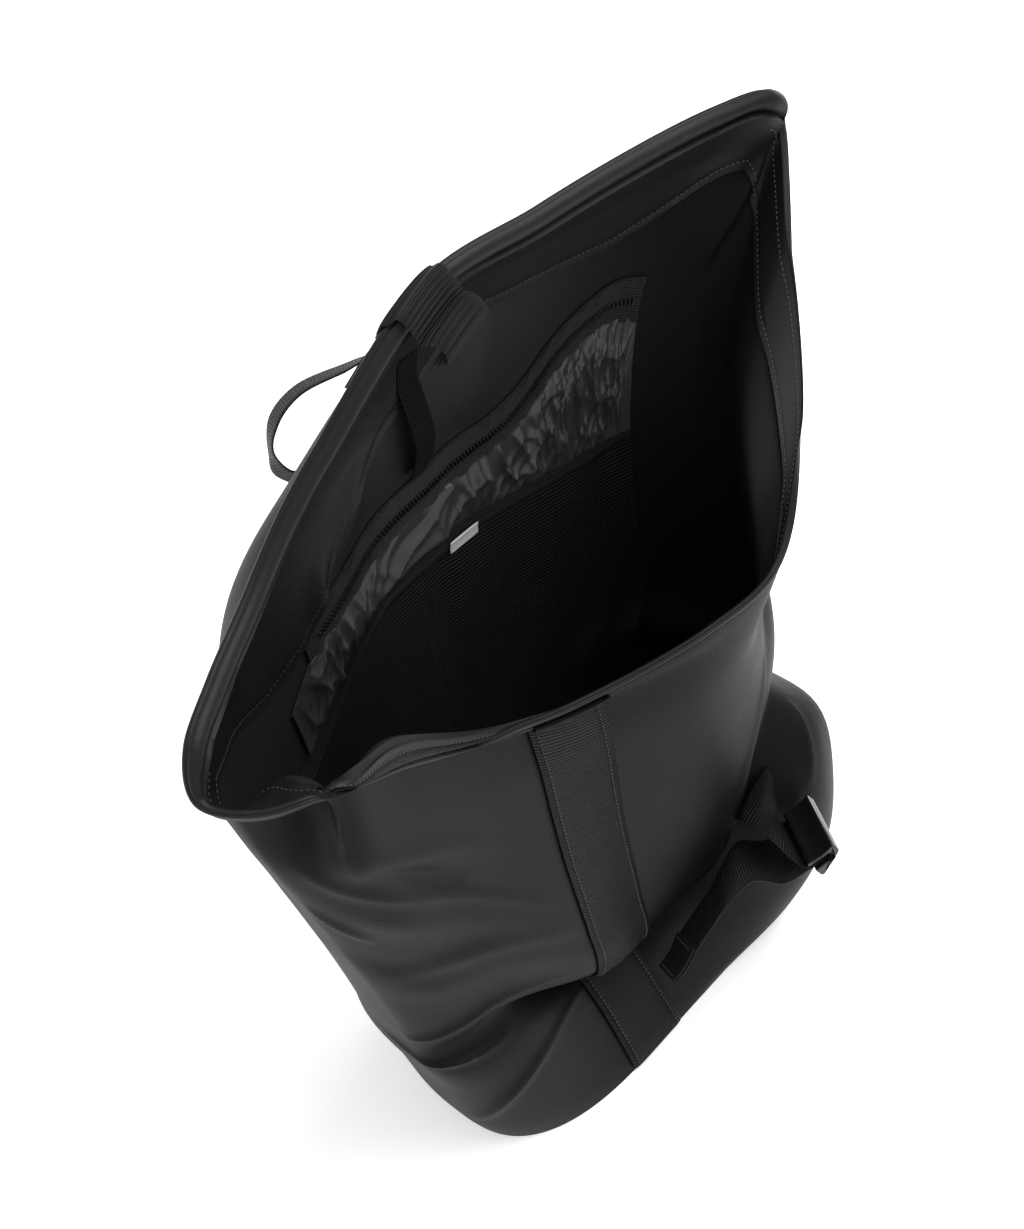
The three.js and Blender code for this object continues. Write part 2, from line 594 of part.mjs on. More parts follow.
// The buckle at the right: a wedge slit from its thick side, where the side strap and, under it, the
// strap's tail go in. Its slot points to the front, and its far side is tipped up.
const buckleSlot = new THREE.Vector3(-0.55, -0.83, 0.07).normalize();
const buckleAway = new THREE.Vector3(0.71, -0.42, 0.57);
buckleAway.addScaledVector(buckleSlot, -buckleAway.dot(buckleSlot)).normalize();
const buckleUp = buckleSlot.clone().cross(buckleAway);
const buckleMiddle = place({ across: 0.373, deep: -0.598, high: 0.236 });
const inBuckle = (slot, away, up) => buckleMiddle.clone().addScaledVector(buckleSlot, slot)
  .addScaledVector(buckleAway, away).addScaledVector(buckleUp, up);
const slitHigh = 2 * webbingThick + 10 * seat;
const slitTop = -3;
const slitEnd = 0.2 * buckleLength;
const wedge = [
  [-buckleLength / 2, 0], [buckleLength / 2, 0], [buckleLength / 2, -buckleThin],
  [-buckleLength / 2, -buckleThick], [-buckleLength / 2, slitTop - slitHigh], [slitEnd, slitTop - slitHigh],
  [slitEnd, slitTop], [-buckleLength / 2, slitTop],
];
{
  const outline = new THREE.Shape(wedge.map(([away, up]) => new THREE.Vector2(away, up)));
  const geometry = new THREE.ExtrudeGeometry(outline, { depth: buckleWidth, bevelEnabled: false });
  geometry.translate(0, 0, -buckleWidth / 2);
  const turned = new THREE.Matrix4().makeBasis(buckleAway, buckleUp, buckleSlot).setPosition(buckleMiddle);
  piece("side_buckle", geometry.applyMatrix4(turned), gloss, 0.25);
}

// The side strap: sewn in the fold, out over the lower body and into the buckle, turning on edge as it goes.
const strapFoldTurn = 300;
const strapFoldHalf = 5.5; // half the strap's width there in degrees of turn
const sewnRings = [valleyLevel - 0.12, valleyLevel - 0.35].map((level) => flatCorners.map(([u, v]) =>
  shellPoint(strapFoldTurn - u * strapFoldHalf, level, v > 0 ? lay : lay + webbingThick)));
const strapLayer = slitTop - seat - webbingThick / 2;
const tailLayer = slitTop - slitHigh + seat + webbingThick / 2;
const inSlit = (share, layer) => ({ at: inBuckle(0, share * buckleLength, layer), across: buckleSlot });
const strapPlaces = [
  { across: 0.364, deep: -0.333, high: 0.248, edge: [-0.89, -0.03, -0.45] },
  { across: 0.36, deep: -0.382, high: 0.249, edge: [-0.98, -0.16, -0.05] },
  { across: 0.356, deep: -0.424, high: 0.241, edge: [-0.91, -0.34, 0.22] },
  { across: 0.348, deep: -0.469, high: 0.233, edge: [-0.81, -0.43, 0.4] },
];
piece("side_strap", ribbon([
  ...strapPlaces.map(placeRow), ...[-0.66, -0.4, 0.16].map((share) => inSlit(share, strapLayer)),
], strapWebbing, webbingThick, 26, sewnRings), webbing, 0.75);

// The strap's tail: back out of the slit under the strap, then turning on edge down over the front.
const tailPlaces = [
  { across: 0.314, deep: -0.528, high: 0.195, edge: [-0.56, -0.82, 0.1] },
  { across: 0.278, deep: -0.439, high: 0.197, edge: [-0.58, -0.78, 0.22] },
  { across: 0.231, deep: -0.416, high: 0.179, edge: [-0.59, -0.7, 0.4] },
  { across: 0.204, deep: -0.411, high: 0.166, edge: [-0.54, -0.66, 0.52] },
  { across: 0.155, deep: -0.395, high: 0.141, edge: [-0.44, -0.68, 0.59] },
  { across: 0.126, deep: -0.388, high: 0.128, edge: [-0.41, -0.68, 0.61] },
  { across: 0.086, deep: -0.398, high: 0.116, edge: [-0.4, -0.66, 0.64] },
  { across: 0.056, deep: -0.393, high: 0.107, edge: [-0.4, -0.65, 0.64] },
];
piece("strap_tail", ribbon([
  ...[0.05, -0.4, -0.62].map((share) => inSlit(share, tailLayer)), ...tailPlaces.map(placeRow),
], strapWebbing, webbingThick, 30), webbing, 0.75);

export default group;
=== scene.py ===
import bpy
import numpy as np
from mathutils import Matrix, Vector


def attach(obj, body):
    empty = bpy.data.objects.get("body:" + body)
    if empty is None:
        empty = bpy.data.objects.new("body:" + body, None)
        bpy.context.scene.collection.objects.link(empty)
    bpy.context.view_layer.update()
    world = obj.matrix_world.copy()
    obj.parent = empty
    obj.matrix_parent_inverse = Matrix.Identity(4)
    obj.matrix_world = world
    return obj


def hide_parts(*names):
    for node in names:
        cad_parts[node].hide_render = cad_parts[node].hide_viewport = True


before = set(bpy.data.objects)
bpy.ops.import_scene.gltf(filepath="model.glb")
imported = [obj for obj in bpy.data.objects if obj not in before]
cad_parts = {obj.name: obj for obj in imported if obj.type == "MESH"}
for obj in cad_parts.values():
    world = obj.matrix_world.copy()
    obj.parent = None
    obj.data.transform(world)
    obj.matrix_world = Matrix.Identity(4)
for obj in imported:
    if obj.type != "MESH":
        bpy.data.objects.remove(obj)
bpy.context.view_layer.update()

# The studio: a pale floor under wide soft light, and a camera that looks down on the open bag from
# its front left, a little tilted.
camera_turn = np.radians(-44)
camera_rise = np.radians(48)
camera_tilt = np.radians(-7)
camera_away = 1.19
camera_aim = np.array([0.013, 0.036, 0.362])
picture_height = 1229
focal_length = 2050  # in pixels of the picture's height
sensor_height = 36

back = np.array([
    np.sin(camera_turn) * np.cos(camera_rise),
    -np.cos(camera_turn) * np.cos(camera_rise),
    np.sin(camera_rise),
])
level_right = np.cross(-back, [0, 0, 1])
level_right /= np.linalg.norm(level_right)
level_up = np.cross(level_right, -back)
right = np.cos(camera_tilt) * level_right + np.sin(camera_tilt) * level_up
up = np.cos(camera_tilt) * level_up - np.sin(camera_tilt) * level_right
stand = camera_aim + camera_away * back
camera = bpy.data.objects.new("camera", bpy.data.cameras.new("camera"))
camera.data.lens = focal_length / picture_height * sensor_height
camera.data.sensor_width = sensor_height
camera_axes = np.stack([right, up, back], 1)
camera.matrix_world = Matrix([[*row, place] for row, place in zip(camera_axes, stand)] + [[0, 0, 0, 1]])
bpy.context.scene.collection.objects.link(camera)
bpy.context.scene.camera = camera

world = bpy.data.worlds.new("soft room")
bpy.context.scene.world = world
world.use_nodes = True
world.node_tree.nodes["Background"].inputs["Color"].default_value = (0.97, 0.985, 1, 1)
world.node_tree.nodes["Background"].inputs["Strength"].default_value = 0.6
bpy.context.scene.view_settings.view_transform = "Standard"


def softbox(name, place, aim, wide, watts, colour):
    """A square light at a place that faces a point."""
    light = bpy.data.lights.new(name, "AREA")
    light.size, light.energy, light.color = wide, watts, colour
    box = bpy.data.objects.new(name, light)
    box.location = place
    box.rotation_mode = "QUATERNION"
    box.rotation_quaternion = (Vector(aim) - Vector(place)).to_track_quat("-Z", "Y")
    bpy.context.scene.collection.objects.link(box)


softbox("overhead", (0.7, -0.4, 2.3), (0, 0, 0.3), 1.8, 38, (1, 1, 1))
softbox("left window", (-2.1, 0.8, 0.6), (0, 0, 0.35), 0.8, 8, (0.9, 0.95, 1))
softbox("right card", (1.1, 0.2, 0.45), (0.2, 0, 0.12), 0.5, 7, (1, 1, 1))


class Wire:
    """A socket of a finish, with sums on it written as Python and made as Math nodes."""

    def __init__(self, finish, socket):
        self.finish, self.socket = finish, socket

    def sum(self, operation, first, second=0.0):
        return self.finish.node("ShaderNodeMath", {"operation": operation}, {0: first, 1: second})

    def __add__(self, other):
        return self.sum("ADD", self, other)

    def __sub__(self, other):
        return self.sum("SUBTRACT", self, other)

    def __rsub__(self, other):
        return self.sum("SUBTRACT", other, self)

    def __mul__(self, other):
        return self.sum("MULTIPLY", self, other)

    def sine(self):
        return self.sum("SINE", self)

    def above(self, other):
        return self.sum("GREATER_THAN", self, other)

    def size(self):
        return self.sum("ABSOLUTE", self)

    __radd__, __rmul__ = __add__, __mul__


class Finish:
    """One material: a Principled shader and the nodes that feed it."""

    def __init__(self, name):
        self.material = bpy.data.materials.new(name)
        self.material.use_nodes = True
        self.tree = self.material.node_tree
        self.shader = self.tree.nodes["Principled BSDF"]

    def feed(self, socket, value):
        if isinstance(value, Wire):
            self.tree.links.new(value.socket, socket)
        else:
            socket.default_value = value

    def node(self, kind, settings, sockets, output=0):
        """A node of a kind, with its settings and its sockets' values or links."""
        made = self.tree.nodes.new(kind)
        for name, value in settings.items():
            setattr(made, name, value)
        for socket, value in sockets.items():
            self.feed(made.inputs[socket], value)
        return Wire(self, made.outputs[output])

    def mix(self, share, first, second):
        """The colour between two colours."""
        return self.node("ShaderNodeMix", {"data_type": "RGBA"}, {0: share, 6: first, 7: second}, 2)

    def dress(self, sockets):
        for socket, value in sockets.items():
            self.feed(self.shader.inputs[socket], value)
        return self.material

    def place(self):
        """The point's place in the object's own frame."""
        return self.node("ShaderNodeTexCoord", {}, {}, "Object")

    def noise(self, scale, detail):
        return self.node("ShaderNodeTexNoise", {}, {"Vector": self.place(), "Scale": scale, "Detail": detail})

    def bump(self, height, depth, strength):
        return self.node("ShaderNodeBump", {}, {"Height": height, "Distance": depth, "Strength": strength})


floor_mesh = bpy.data.meshes.new("floor")
floor_half = 5
floor_drop = 0.0006
floor_corners = [(-1, -1), (1, -1), (1, 1), (-1, 1)]
floor_mesh.from_pydata([(x * floor_half, y * floor_half, -floor_drop) for x, y in floor_corners], [],
                       [(0, 1, 2, 3)])
floor = bpy.data.objects.new("floor", floor_mesh)
bpy.context.scene.collection.objects.link(floor)
floor_finish = Finish("floor paper")
floor_mesh.materials.append(floor_finish.dress({
    "Base Color": floor_finish.mix(floor_finish.noise(3, 2), (0.9, 0.905, 0.91, 1), (0.93, 0.93, 0.93, 1)),
    "Roughness": 0.9, "Specular IOR Level": 0.1, "Emission Color": (1, 1, 1, 1), "Emission Strength": 0.45,
}))


# The bag: one shell of coated fabric, cut and sewn to a box with a flared mouth. It stands on its
# base, its front slumped over a deep fold, and the mouth gapes with its right corner held high.
body_width = 0.340
body_depth = 0.165
mouth_width = 0.484
mouth_depth = 0.130
back_height = 0.580
front_height = 0.350
left_height = 0.455
right_height = 0.556
fabric_wall = 0.002
seat = 0.00035  # the gap under a piece that lies flat on another
lay = 0.0009  # and under one that bends over the cloth


def table(columns, *rows):
    """Rows of numbers under named columns, as one array for each column."""
    return dict(zip(columns.split(), np.array(rows, float).T))


# Sections from the floor up, as shares of the body's width, depth and heights.
sections = table(
    "left right front corner_left corner_right back at_front at_left at_right at_back "
    "square_left square_right square_back",
    (0.358, 0.475, 0.412, 0, 0.01, 0.58, 0, 0, 0, 0, 2.6, 5.5, 2.6),
    (0.38, 0.55, 0.375, 0.02, 0.13, 0.59, 0.043, 0.048, 0.04, 0.041, 2.7, 5.5, 2.6),
    (0.412, 0.615, 0.255, 0.09, 0.32, 0.595, 0.137, 0.16, 0.14, 0.155, 2.8, 4.8, 2.8),
    (0.44, 0.6, 0.15, 0.14, 0.38, 0.6, 0.195, 0.24, 0.28, 0.26, 2.8, 4.2, 3.2),
    (0.45, 0.53, -0.02, 0.21, 0.34, 0.6, 0.235, 0.295, 0.35, 0.345, 2.6, 3.2, 3.2),
    (0.463, 0.56, 0.27, -0.02, 0.08, 0.59, 0.275, 0.35, 0.41, 0.43, 2.4, 3, 3.2),
    (0.495, 0.56, 0.27, -0.03, 0.11, 0.625, 0.43, 0.484, 0.54, 0.57, 2.3, 2.8, 3.2),
    (0.54, 0.57, 0.23, -0.05, 0.13, 0.65, 0.63, 0.66, 0.69, 0.73, 2.3, 2.6, 3.2),
    (0.588, 0.615, 0.2, -0.05, 0.13, 0.6, 0.83, 0.835, 0.85, 0.87, 2.3, 2.4, 3),
    (0.656, 0.77, 0.2, -0.05, 0.13, 0.45, 1, 1, 1, 1, 2.2, 2.2, 2.4),
)
rim_level = 9
lip_level = 5
valley_level = 4

# The mouth's edge, a row every 18 degrees from the right corner round the back.
mouth_line = table(
    "across deep high",
    (1.079, 0.208, 0.952), (1.033, 0.262, 0.99), (0.905, 0.362, 0.993), (0.686, 0.445, 0.996),
    (0.397, 0.505, 1), (0.05, 0.54, 1), (-0.302, 0.5, 0.907), (-0.554, 0.446, 0.841),
    (-0.752, 0.369, 0.819), (-0.885, 0.275, 0.803), (-0.948, 0.15, 0.775), (-0.893, -0.054, 0.772),
    (-0.769, -0.215, 0.772), (-0.554, -0.162, 0.717), (-0.298, -0.146, 0.638), (-0.02, -0.223, 0.59),
    (0.314, -0.462, 0.607), (0.587, -0.469, 0.61), (0.785, -0.3, 0.698), (0.884, -0.1, 0.884),
)

# Soft folds: the middle's turn and level, half length in degrees, half width in levels, climb in
# levels, and depth as a share of the body's depth.
folds = np.array([
    (116, 8.25, 24, 0.75, 0, 0.2),
    (222, 6.9, 26, 0.28, -1.1, 0.033),
    (215, 6.2, 22, 0.24, -0.8, -0.022),
    (232, 5.9, 28, 0.26, -0.5, 0.028),
    (207, 8.5, 12, 0.35, 0.5, -0.05),
    (345, 2.9, 14, 0.3, 0.4, 0.035),
    (330, 6.4, 20, 0.5, 1.2, -0.03),
])
# Creases: from a turn and level to another, half width and height in metres, and how sharp they are, up
# to 1.
creases = np.array([
    (200, 8.1, 248, 7.5, 0.011, 0.0035, 0.1),
    (188, 8.1, 257, 6.45, 0.006, 0.0042, 0.6),
    (213, 7.95, 237, 7.15, 0.007, -0.004, 0.4),
    (184, 7.5, 204, 6.9, 0.005, 0.0035, 0.6),
    (192, 6.42, 262, 6.02, 0.009, 0.0035, 0.3),
    (178, 4.9, 258, 5.3, 0.006, 0.004, 0.6),
    (172, 3.6, 238, 3.3, 0.008, 0.0045, 0.6),
    (188, 1.2, 266, 2.9, 0.007, 0.0045, 0.7),
    (216, 8.95, 209, 8.0, 0.004, 0.004, 0.8),
    (285, 5.1, 322, 6.4, 0.012, 0.004, 0.2),
    (278, 5.3, 306, 5.0, 0.008, 0.004, 0.4),
    (305, 3.0, 336, 3.5, 0.004, 0.003, 0.8),
    (79, 8.2, 81, 7.2, 0.011, -0.006, 0.1),
    (95, 7.8, 98, 7.2, 0.007, -0.006, 0.3),
    (103, 7.7, 106, 7.2, 0.006, -0.005, 0.4),
    (3, 8.7, 15, 8.0, 0.009, -0.007, 0.2),
])
# Where the mouth's edge folds outward: the middle's turn and level, half length in degrees, half width
# in levels, and how far the cloth just inside the edge is drawn inward and raised, in metres.
curls = np.array([
    (231, 8.52, 19, 0.33, 0.013, 0.03),
    (262, 8.6, 20, 0.28, 0.007, 0.015),
    (196, 8.5, 13, 0.32, 0.028, 0.01),
    (210, 8.4, 4, 0.35, -0.002, -0.007),
])
degree_long = 0.0026  # about how far a degree and a level reach over the cloth
level_long = 0.065


def smooth(x, low, high):
    """From 0 at low to 1 at high, flat at both ends."""
    t = np.clip((x - low) / (high - low), 0, 1)
    return t * t * (3 - 2 * t)


def unit(vectors):
    return vectors / np.linalg.norm(vectors, axis=-1, keepdims=True)


def along_rows(column, at, loop=False):
    """A cubic through a column's values at a row number. A row's slope is half its neighbours' difference."""
    rows = len(column)
    low = np.floor(at).astype(int)
    if not loop:
        low = np.clip(low, 0, rows - 2)
    t = at - low
    near = [low + k for k in (-1, 0, 1, 2)]
    a, b, c, d = (column[row % rows if loop else np.clip(row, 0, rows - 1)] for row in near)
    return ((1 + 2 * t) * (1 - t) ** 2 * b + t * (1 - t) ** 2 * (c - a) / 2
            + t * t * (3 - 2 * t) * c + t * t * (t - 1) * (d - b) / 2)


def section_point(turn, level):
    """A superellipse round the bag whose four sides have their own reach and height."""
    s = {name: along_rows(column, level) for name, column in sections.items()}
    c, d = np.cos(np.radians(turn)), np.sin(np.radians(turn))
    front, rightward = d < 0, c > 0
    square = np.where(front, np.where(rightward, s["square_right"], s["square_left"]), s["square_back"])
    across = np.sign(c) * np.abs(c) ** (2 / square)
    deep = np.sign(d) * np.abs(d) ** (2 / square)
    corner = np.where(rightward, s["corner_right"], s["corner_left"]) * smooth(np.abs(across), 0.05, 0.85)
    reach = np.where(front, s["front"] + corner, s["back"])
    middle = np.where(front, front_height * s["at_front"], back_height * s["at_back"])
    side = np.where(rightward, right_height * s["at_right"], left_height * s["at_left"])
    to_side = np.where(front & ~rightward, smooth(np.abs(across), 0, 0.75),
                       smooth(np.abs(across), np.where(front, 0.35, 0.15), 1))
    return np.stack([
        across * body_width * np.where(rightward, s["right"], s["left"]),
        deep * body_depth * reach,
        middle + (side - middle) * to_side,
    ], -1)


def mouth_point(turn):
    """The mouth's edge at a turn, through the rows of its table."""
    at = np.asarray(turn) / 360 * len(mouth_line["across"])
    return np.stack([
        along_rows(mouth_line["across"], at, True) * mouth_width / 2,
        along_rows(mouth_line["deep"], at, True) * mouth_depth,
        along_rows(mouth_line["high"], at, True) * back_height,
    ], -1)


def loft(turn, level):
    """The sections, drawn to the mouth's edge over the upper ones."""
    turn, level = np.broadcast_arrays(np.asarray(turn, float), np.asarray(level, float))
    pull = smooth(level, lip_level, rim_level)[..., None]
    top_section = section_point(turn, rim_level + 0 * level)
    drawn = section_point(turn, level) + pull * (mouth_point(turn) - top_section)
    inward = -unit(np.stack([0.5 * np.cos(np.radians(turn)), np.sin(np.radians(turn))], -1))
    for middle, at, half, spread, inside, raised in curls:
        bell = np.exp(-((turn - middle) / half) ** 2 - ((level - at) / spread) ** 2)
        bell = bell * (1 - smooth(level, at, rim_level))
        drawn = drawn + np.concatenate([inward * inside, 0 * inward[..., :1] + raised], -1) * bell[..., None]
    return drawn


def way_out(turn, level):
    """Square to the loft: its way round crossed with its way up."""
    turn_step, level_step = 1.5, 0.06
    level = np.asarray(level, float)
    around = loft(turn + turn_step, level) - loft(turn - turn_step, level)
    upwards = (loft(turn, np.minimum(level + level_step, rim_level))
               - loft(turn, np.maximum(level - level_step, 0)))
    return unit(np.cross(around, upwards))


def relief(turn, level):
    """Soft folds as humps that fall off like a bell, and creases as ridges that taper along a line."""
    height = 0 * (turn + level)
    for middle, at, half, spread, slant, depth in folds:
        along = (turn - middle) / half
        across = (level - at - slant * along / 2) / spread
        height = height + body_depth * depth * np.exp(-along ** 2 - across ** 2)
    for turn_a, level_a, turn_b, level_b, wide, tall, sharp in creases:
        run = np.array([(turn_b - turn_a) * degree_long, (level_b - level_a) * level_long])
        length = np.hypot(*run)
        x, y = (turn - turn_a) * degree_long, (level - level_a) * level_long
        along = (x * run[0] + y * run[1]) / length ** 2
        across = np.abs(x * run[1] - y * run[0]) / length / wide
        ridge = (1 - sharp) * np.exp(-across ** 2) + sharp * np.exp(-1.4 * np.sqrt(across ** 2 + 0.02))
        height = height + tall * ridge * np.sin(np.pi * np.clip(along, 0, 1)) ** 0.8
    return height


def cloth(turn, level, lift=0.0):
    """The shell's outer face, moved out by its relief and a lift."""
    turn, level, lift = np.broadcast_arrays(turn, level, lift)
    return loft(turn, level) + (relief(turn, level) + lift)[..., None] * way_out(turn, level)


def solid(name, rings, ends, finish, along, across=None, sharp=50):
    """A closed mesh through rings of points. Each ring's last point joins its first. ends is loop, where
    the last ring meets the first, fan, closed from the end rings' middles, or strip, closed across flat
    rings. along and across give the weave's coordinates in metres."""
    rings = np.asarray(rings, float)
    rows, size = rings.shape[:2]
    points = rings.reshape(-1, 3)
    spans = rows if ends == "loop" else rows - 1
    i, j = np.arange(spans)[:, None], np.arange(size)[None, :]
    here, after = i * size, (i + 1) % rows * size
    faces = np.stack([here + j, here + (j + 1) % size, after + (j + 1) % size, after + j], -1).reshape(-1, 4)
    point_gap = 0.004  # about how far apart a ring's points lie
    along = np.asarray(along, float)
    across = np.arange(size + 1) * point_gap if across is None else np.asarray(across, float)
    along = along if len(along) > rows else np.append(along, along[0])
    across = across if len(across) > size else np.append(across, across[0])
    u = np.stack([across[j] + 0 * i, across[j + 1] + 0 * i, across[j + 1] + 0 * i, across[j] + 0 * i], -1)
    v = np.stack([along[i] + 0 * j, along[i] + 0 * j, along[i + 1] + 0 * j, along[i + 1] + 0 * j], -1)
    weave = np.stack([u, v], -1).reshape(-1, 4, 2)
    caps, cap_weave = [], []
    for first in ([] if ends == "loop" else [0, (rows - 1) * size]):
        k = np.arange(size if ends == "fan" else size // 2 - 1)
        if ends == "fan":
            points = np.vstack([points, points[first:first + size].mean(0)])
            cap = np.stack([(k + 1) % size + first, k + first, np.full(size, len(points) - 1)], -1)
        else:
            cap = first + np.stack([k, size - 1 - k, size - 2 - k, k + 1], -1)
        caps += (cap if first == 0 else cap[:, ::-1]).tolist()
        cap_weave += [(across[n % size], along[first // size]) for n in np.ravel(cap)]
    a, b, c, d = (points[faces[:, n]] for n in range(4))
    volume = (np.cross(b, c) * a).sum() + (np.cross(c, d) * a).sum()
    every = faces.tolist() + caps
    if volume < 0:
        every = [face[::-1] for face in every]
        weave = weave[:, ::-1]
    mesh = bpy.data.meshes.new(name)
    mesh.from_pydata(points.tolist(), [], every)
    layer = mesh.uv_layers.new(name="weave")
    layer.data.foreach_set("uv", np.concatenate([weave.ravel(), np.ravel(cap_weave)]))
    return settle(name, mesh, finish, sharp)


def settle(name, mesh, finish, sharp=50):
    """Puts a mesh in the scene as a smooth piece that rides with the bag."""
    mesh.shade_smooth()
    mesh.set_sharp_from_angle(angle=np.radians(sharp))
    mesh.materials.append(finish)
    made = bpy.data.objects.new(name, mesh)
    bpy.context.scene.collection.objects.link(made)
    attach(made, "root")
    return made


def coated_cloth(name, dark, light, gloss, shine, shade_span=None):
    """Coated fabric: near black with a faint mottling, the weave just felt through a matte coat. Given
    a span of x, the colour is darkened across it towards near black, painted shade, and the cloth gets
    duller there."""
    finish = Finish(name)
    mottle = finish.noise(14, 4)
    fade = 0.0
    if shade_span:
        across = finish.node("ShaderNodeSeparateXYZ", {}, {0: finish.place()})
        fade = finish.node("ShaderNodeMapRange", {}, {0: across, 1: shade_span[0], 2: shade_span[1]})
    grain = finish.noise(1400, 2)
    pebble = finish.noise(420, 3)
    height = finish.bump(grain * 0.6 + pebble, 0.0004, 0.5)
    colour = finish.mix(mottle, (*dark, 1), (*light, 1))
    # Painted shade: over the span of x the colour darkens towards this near black.
    shade_black = (0.002, 0.002, 0.002, 1)
    return finish.dress({
        "Base Color": finish.mix(fade, colour, shade_black),
        "Roughness": mottle * 0.12 + grain * 0.08 + fade * 0.3 + gloss,
        "Specular IOR Level": shine,
        "Normal": height,
    })


def over_fold(first, last, below, within, above):
    """Levels from first to last, with a count of them below the deep fold, within it and above it."""
    fold_from, fold_to = 3.4, 5.4
    return np.concatenate([
        np.linspace(first, fold_from, below)[:-1], np.linspace(fold_from, fold_to, within)[:-1],
        np.linspace(fold_to, last, above),
    ])


coated = coated_cloth("coated fabric", (0.005, 0.0048, 0.0046), (0.0075, 0.0073, 0.007), 0.4, 0.12)
# The shell's inner face: the same coated cloth, painted lighter where the inside is lit, and darkened towards
# the right wall, painted shade.
lining = coated_cloth("inner side, painted light and shade", (0.014, 0.0138, 0.0132), (0.024, 0.0235, 0.0225), 0.4, 0.2,
                      (0.08, 0.2))
shell_columns = 280
turns = np.arange(shell_columns) / shell_columns * 360
outer_levels = over_fold(0, rim_level, 52, 62, 88)
inner_levels = np.linspace(rim_level, 0.3, 130)
outer = cloth(turns[None, :], outer_levels[:, None])
outer[0, :, 2] = 0
inner = cloth(turns[None, :], inner_levels[:, None], -fabric_wall)
inner[-1, :, 2] = np.maximum(inner[-1, :, 2], fabric_wall)
shell = solid("shell_cloth", np.concatenate([outer, inner]), "fan", coated,
              along=np.concatenate([outer_levels, inner_levels]) * level_long,
              across=np.arange(shell_columns + 1) / shell_columns * 360 * degree_long, sharp=60)
shell.data.materials.append(lining)
inside = np.zeros(len(shell.data.polygons), int)
inside[len(outer_levels) * len(turns):len(inside) - len(turns)] = 1
shell.data.polygons.foreach_set("material_index", inside)
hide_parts("bag_shell")


# The hem: the mouth's edge rolled over, thick along the back and thin along the front, with a
# facing of the same cloth that hangs down the inside and is stitched through at its lower edge.
roll_thin = 0.005
roll_thick = 0.012
roll_from, roll_to = -40, 225  # degrees round the roll's section
groove_at, groove_half, groove_deep = 120, 13, 0.3
band_tall, band_taller = 0.022, 0.006
band_puff = 0.006
zip_end_turn, zip_end_half, zip_end_swell = 108, 12, 0.0035
stitch_up = 0.05
pucker_tall, pucker_wide = 0.0006, 0.0016
facing_thick = 0.0014
lined_at = -(fabric_wall + seat)


def backness(turn):
    return smooth(np.sin(np.radians(turn)), -0.15, 0.35)


def roll_at(turn):
    return roll_thin + (roll_thick - roll_thin) * backness(turn)


def roll_core(turn):
    """How far inward of the outer face the middle of the roll lies."""
    return fabric_wall / 2 + 0.1 * roll_at(turn)


def rim_frame(turn):
    """The shell's edge at a turn, with the ways out of and up along the cloth there."""
    at = cloth(turn, rim_level)
    out = way_out(turn, rim_level + 0 * np.asarray(turn, float))
    rise = at - cloth(turn, rim_level - 0.3)
    return at, out, unit(rise - (rise * out).sum(-1, keepdims=True) * out)


def rim_point(turn, inward, high):
    """A point by the edge: inward from the outer face and high above the edge."""
    at, out, rise = rim_frame(turn)
    return at - out * np.asarray(inward)[..., None] + rise * np.asarray(high)[..., None]


# How far down the facing comes, as a level for each of some turns round the bag.
facing_ends = table(
    "turn level",
    (0, 8.5), (14, 8.58), (30, 8.46), (42, 8.36), (53, 8.3), (72, 8.33), (80, 8.3), (85, 8.09),
    (93, 7.61), (102, 7.42), (110, 7.35), (122, 7.5), (140, 7.9), (163, 8.42), (180, 8.5), (200, 8.6),
    (215, 8.66), (240, 8.66), (262, 8.7), (290, 8.72), (330, 8.5), (345, 8.42), (360, 8.5),
)


def facing_level(turn):
    return np.interp(turn % 360, facing_ends["turn"], facing_ends["level"])


def facing_lift(turn, level):
    """The facing's inner face: a puffed band under the roll along the back, then flat to its stitched
    end, which swells over the zip's end."""
    below = (rim_level - level) * level_long
    share = np.clip(below / (band_tall + band_taller * smooth(turn, 110, 160)), 0, 1)
    hump = smooth(share, -0.02, 0.1) * (1 - share) ** 1.2
    over_zip = (zip_end_swell * np.exp(-((turn - zip_end_turn) / zip_end_half) ** 2)
                * smooth(below, 0.02, 0.06))
    from_seam = (level - facing_level(turn) - stitch_up) * level_long
    stitched = pucker_tall * np.exp(-(from_seam / pucker_wide) ** 2)
    return lined_at - facing_thick - band_puff * backness(turn) * hump - over_zip + stitched


# The hem is the same coated cloth, painted lighter to stand in for the light on the roll, and darkened
# towards the right corner, painted shade.
hem_cloth = coated_cloth("hem fabric, painted light and shade", (0.0085, 0.0083, 0.008), (0.013, 0.0127, 0.012), 0.33, 0.24,
                         (0.2, 0.28))
hem_columns = 420
t = (np.arange(hem_columns) / hem_columns * 360)[:, None]
down = np.linspace(0, 1, 44)[None, :]
lower = facing_level(t) + (rim_level - facing_level(t)) * down
angle = np.radians(np.linspace(roll_from, roll_to, 34))[None, :]
r = roll_at(t) / 2
grooved = r * (1 - groove_deep * np.exp(-((np.degrees(angle) - groove_at) / groove_half) ** 2))
rounded = rim_point(t + 0 * angle, roll_core(t) + grooved * np.cos(angle),
                    seat + r + grooved * np.sin(angle))
hem_rings = np.concatenate([
    cloth(t, lower, facing_lift(t, lower)), rounded,
    rim_point(t, -lined_at + 0 * t, seat + 0 * t), cloth(t, lower[:, ::-1], lined_at),
], 1)
hem = solid("mouth_hem", hem_rings, "loop", hem_cloth,
            along=np.arange(hem_columns + 1) / hem_columns * 360 * degree_long, sharp=60)
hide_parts("mouth_facing")


def run_along(path):
    """The length along a path up to each of its points."""
    return np.concatenate([[0], np.cumsum(np.linalg.norm(np.diff(path, axis=0), axis=1))])


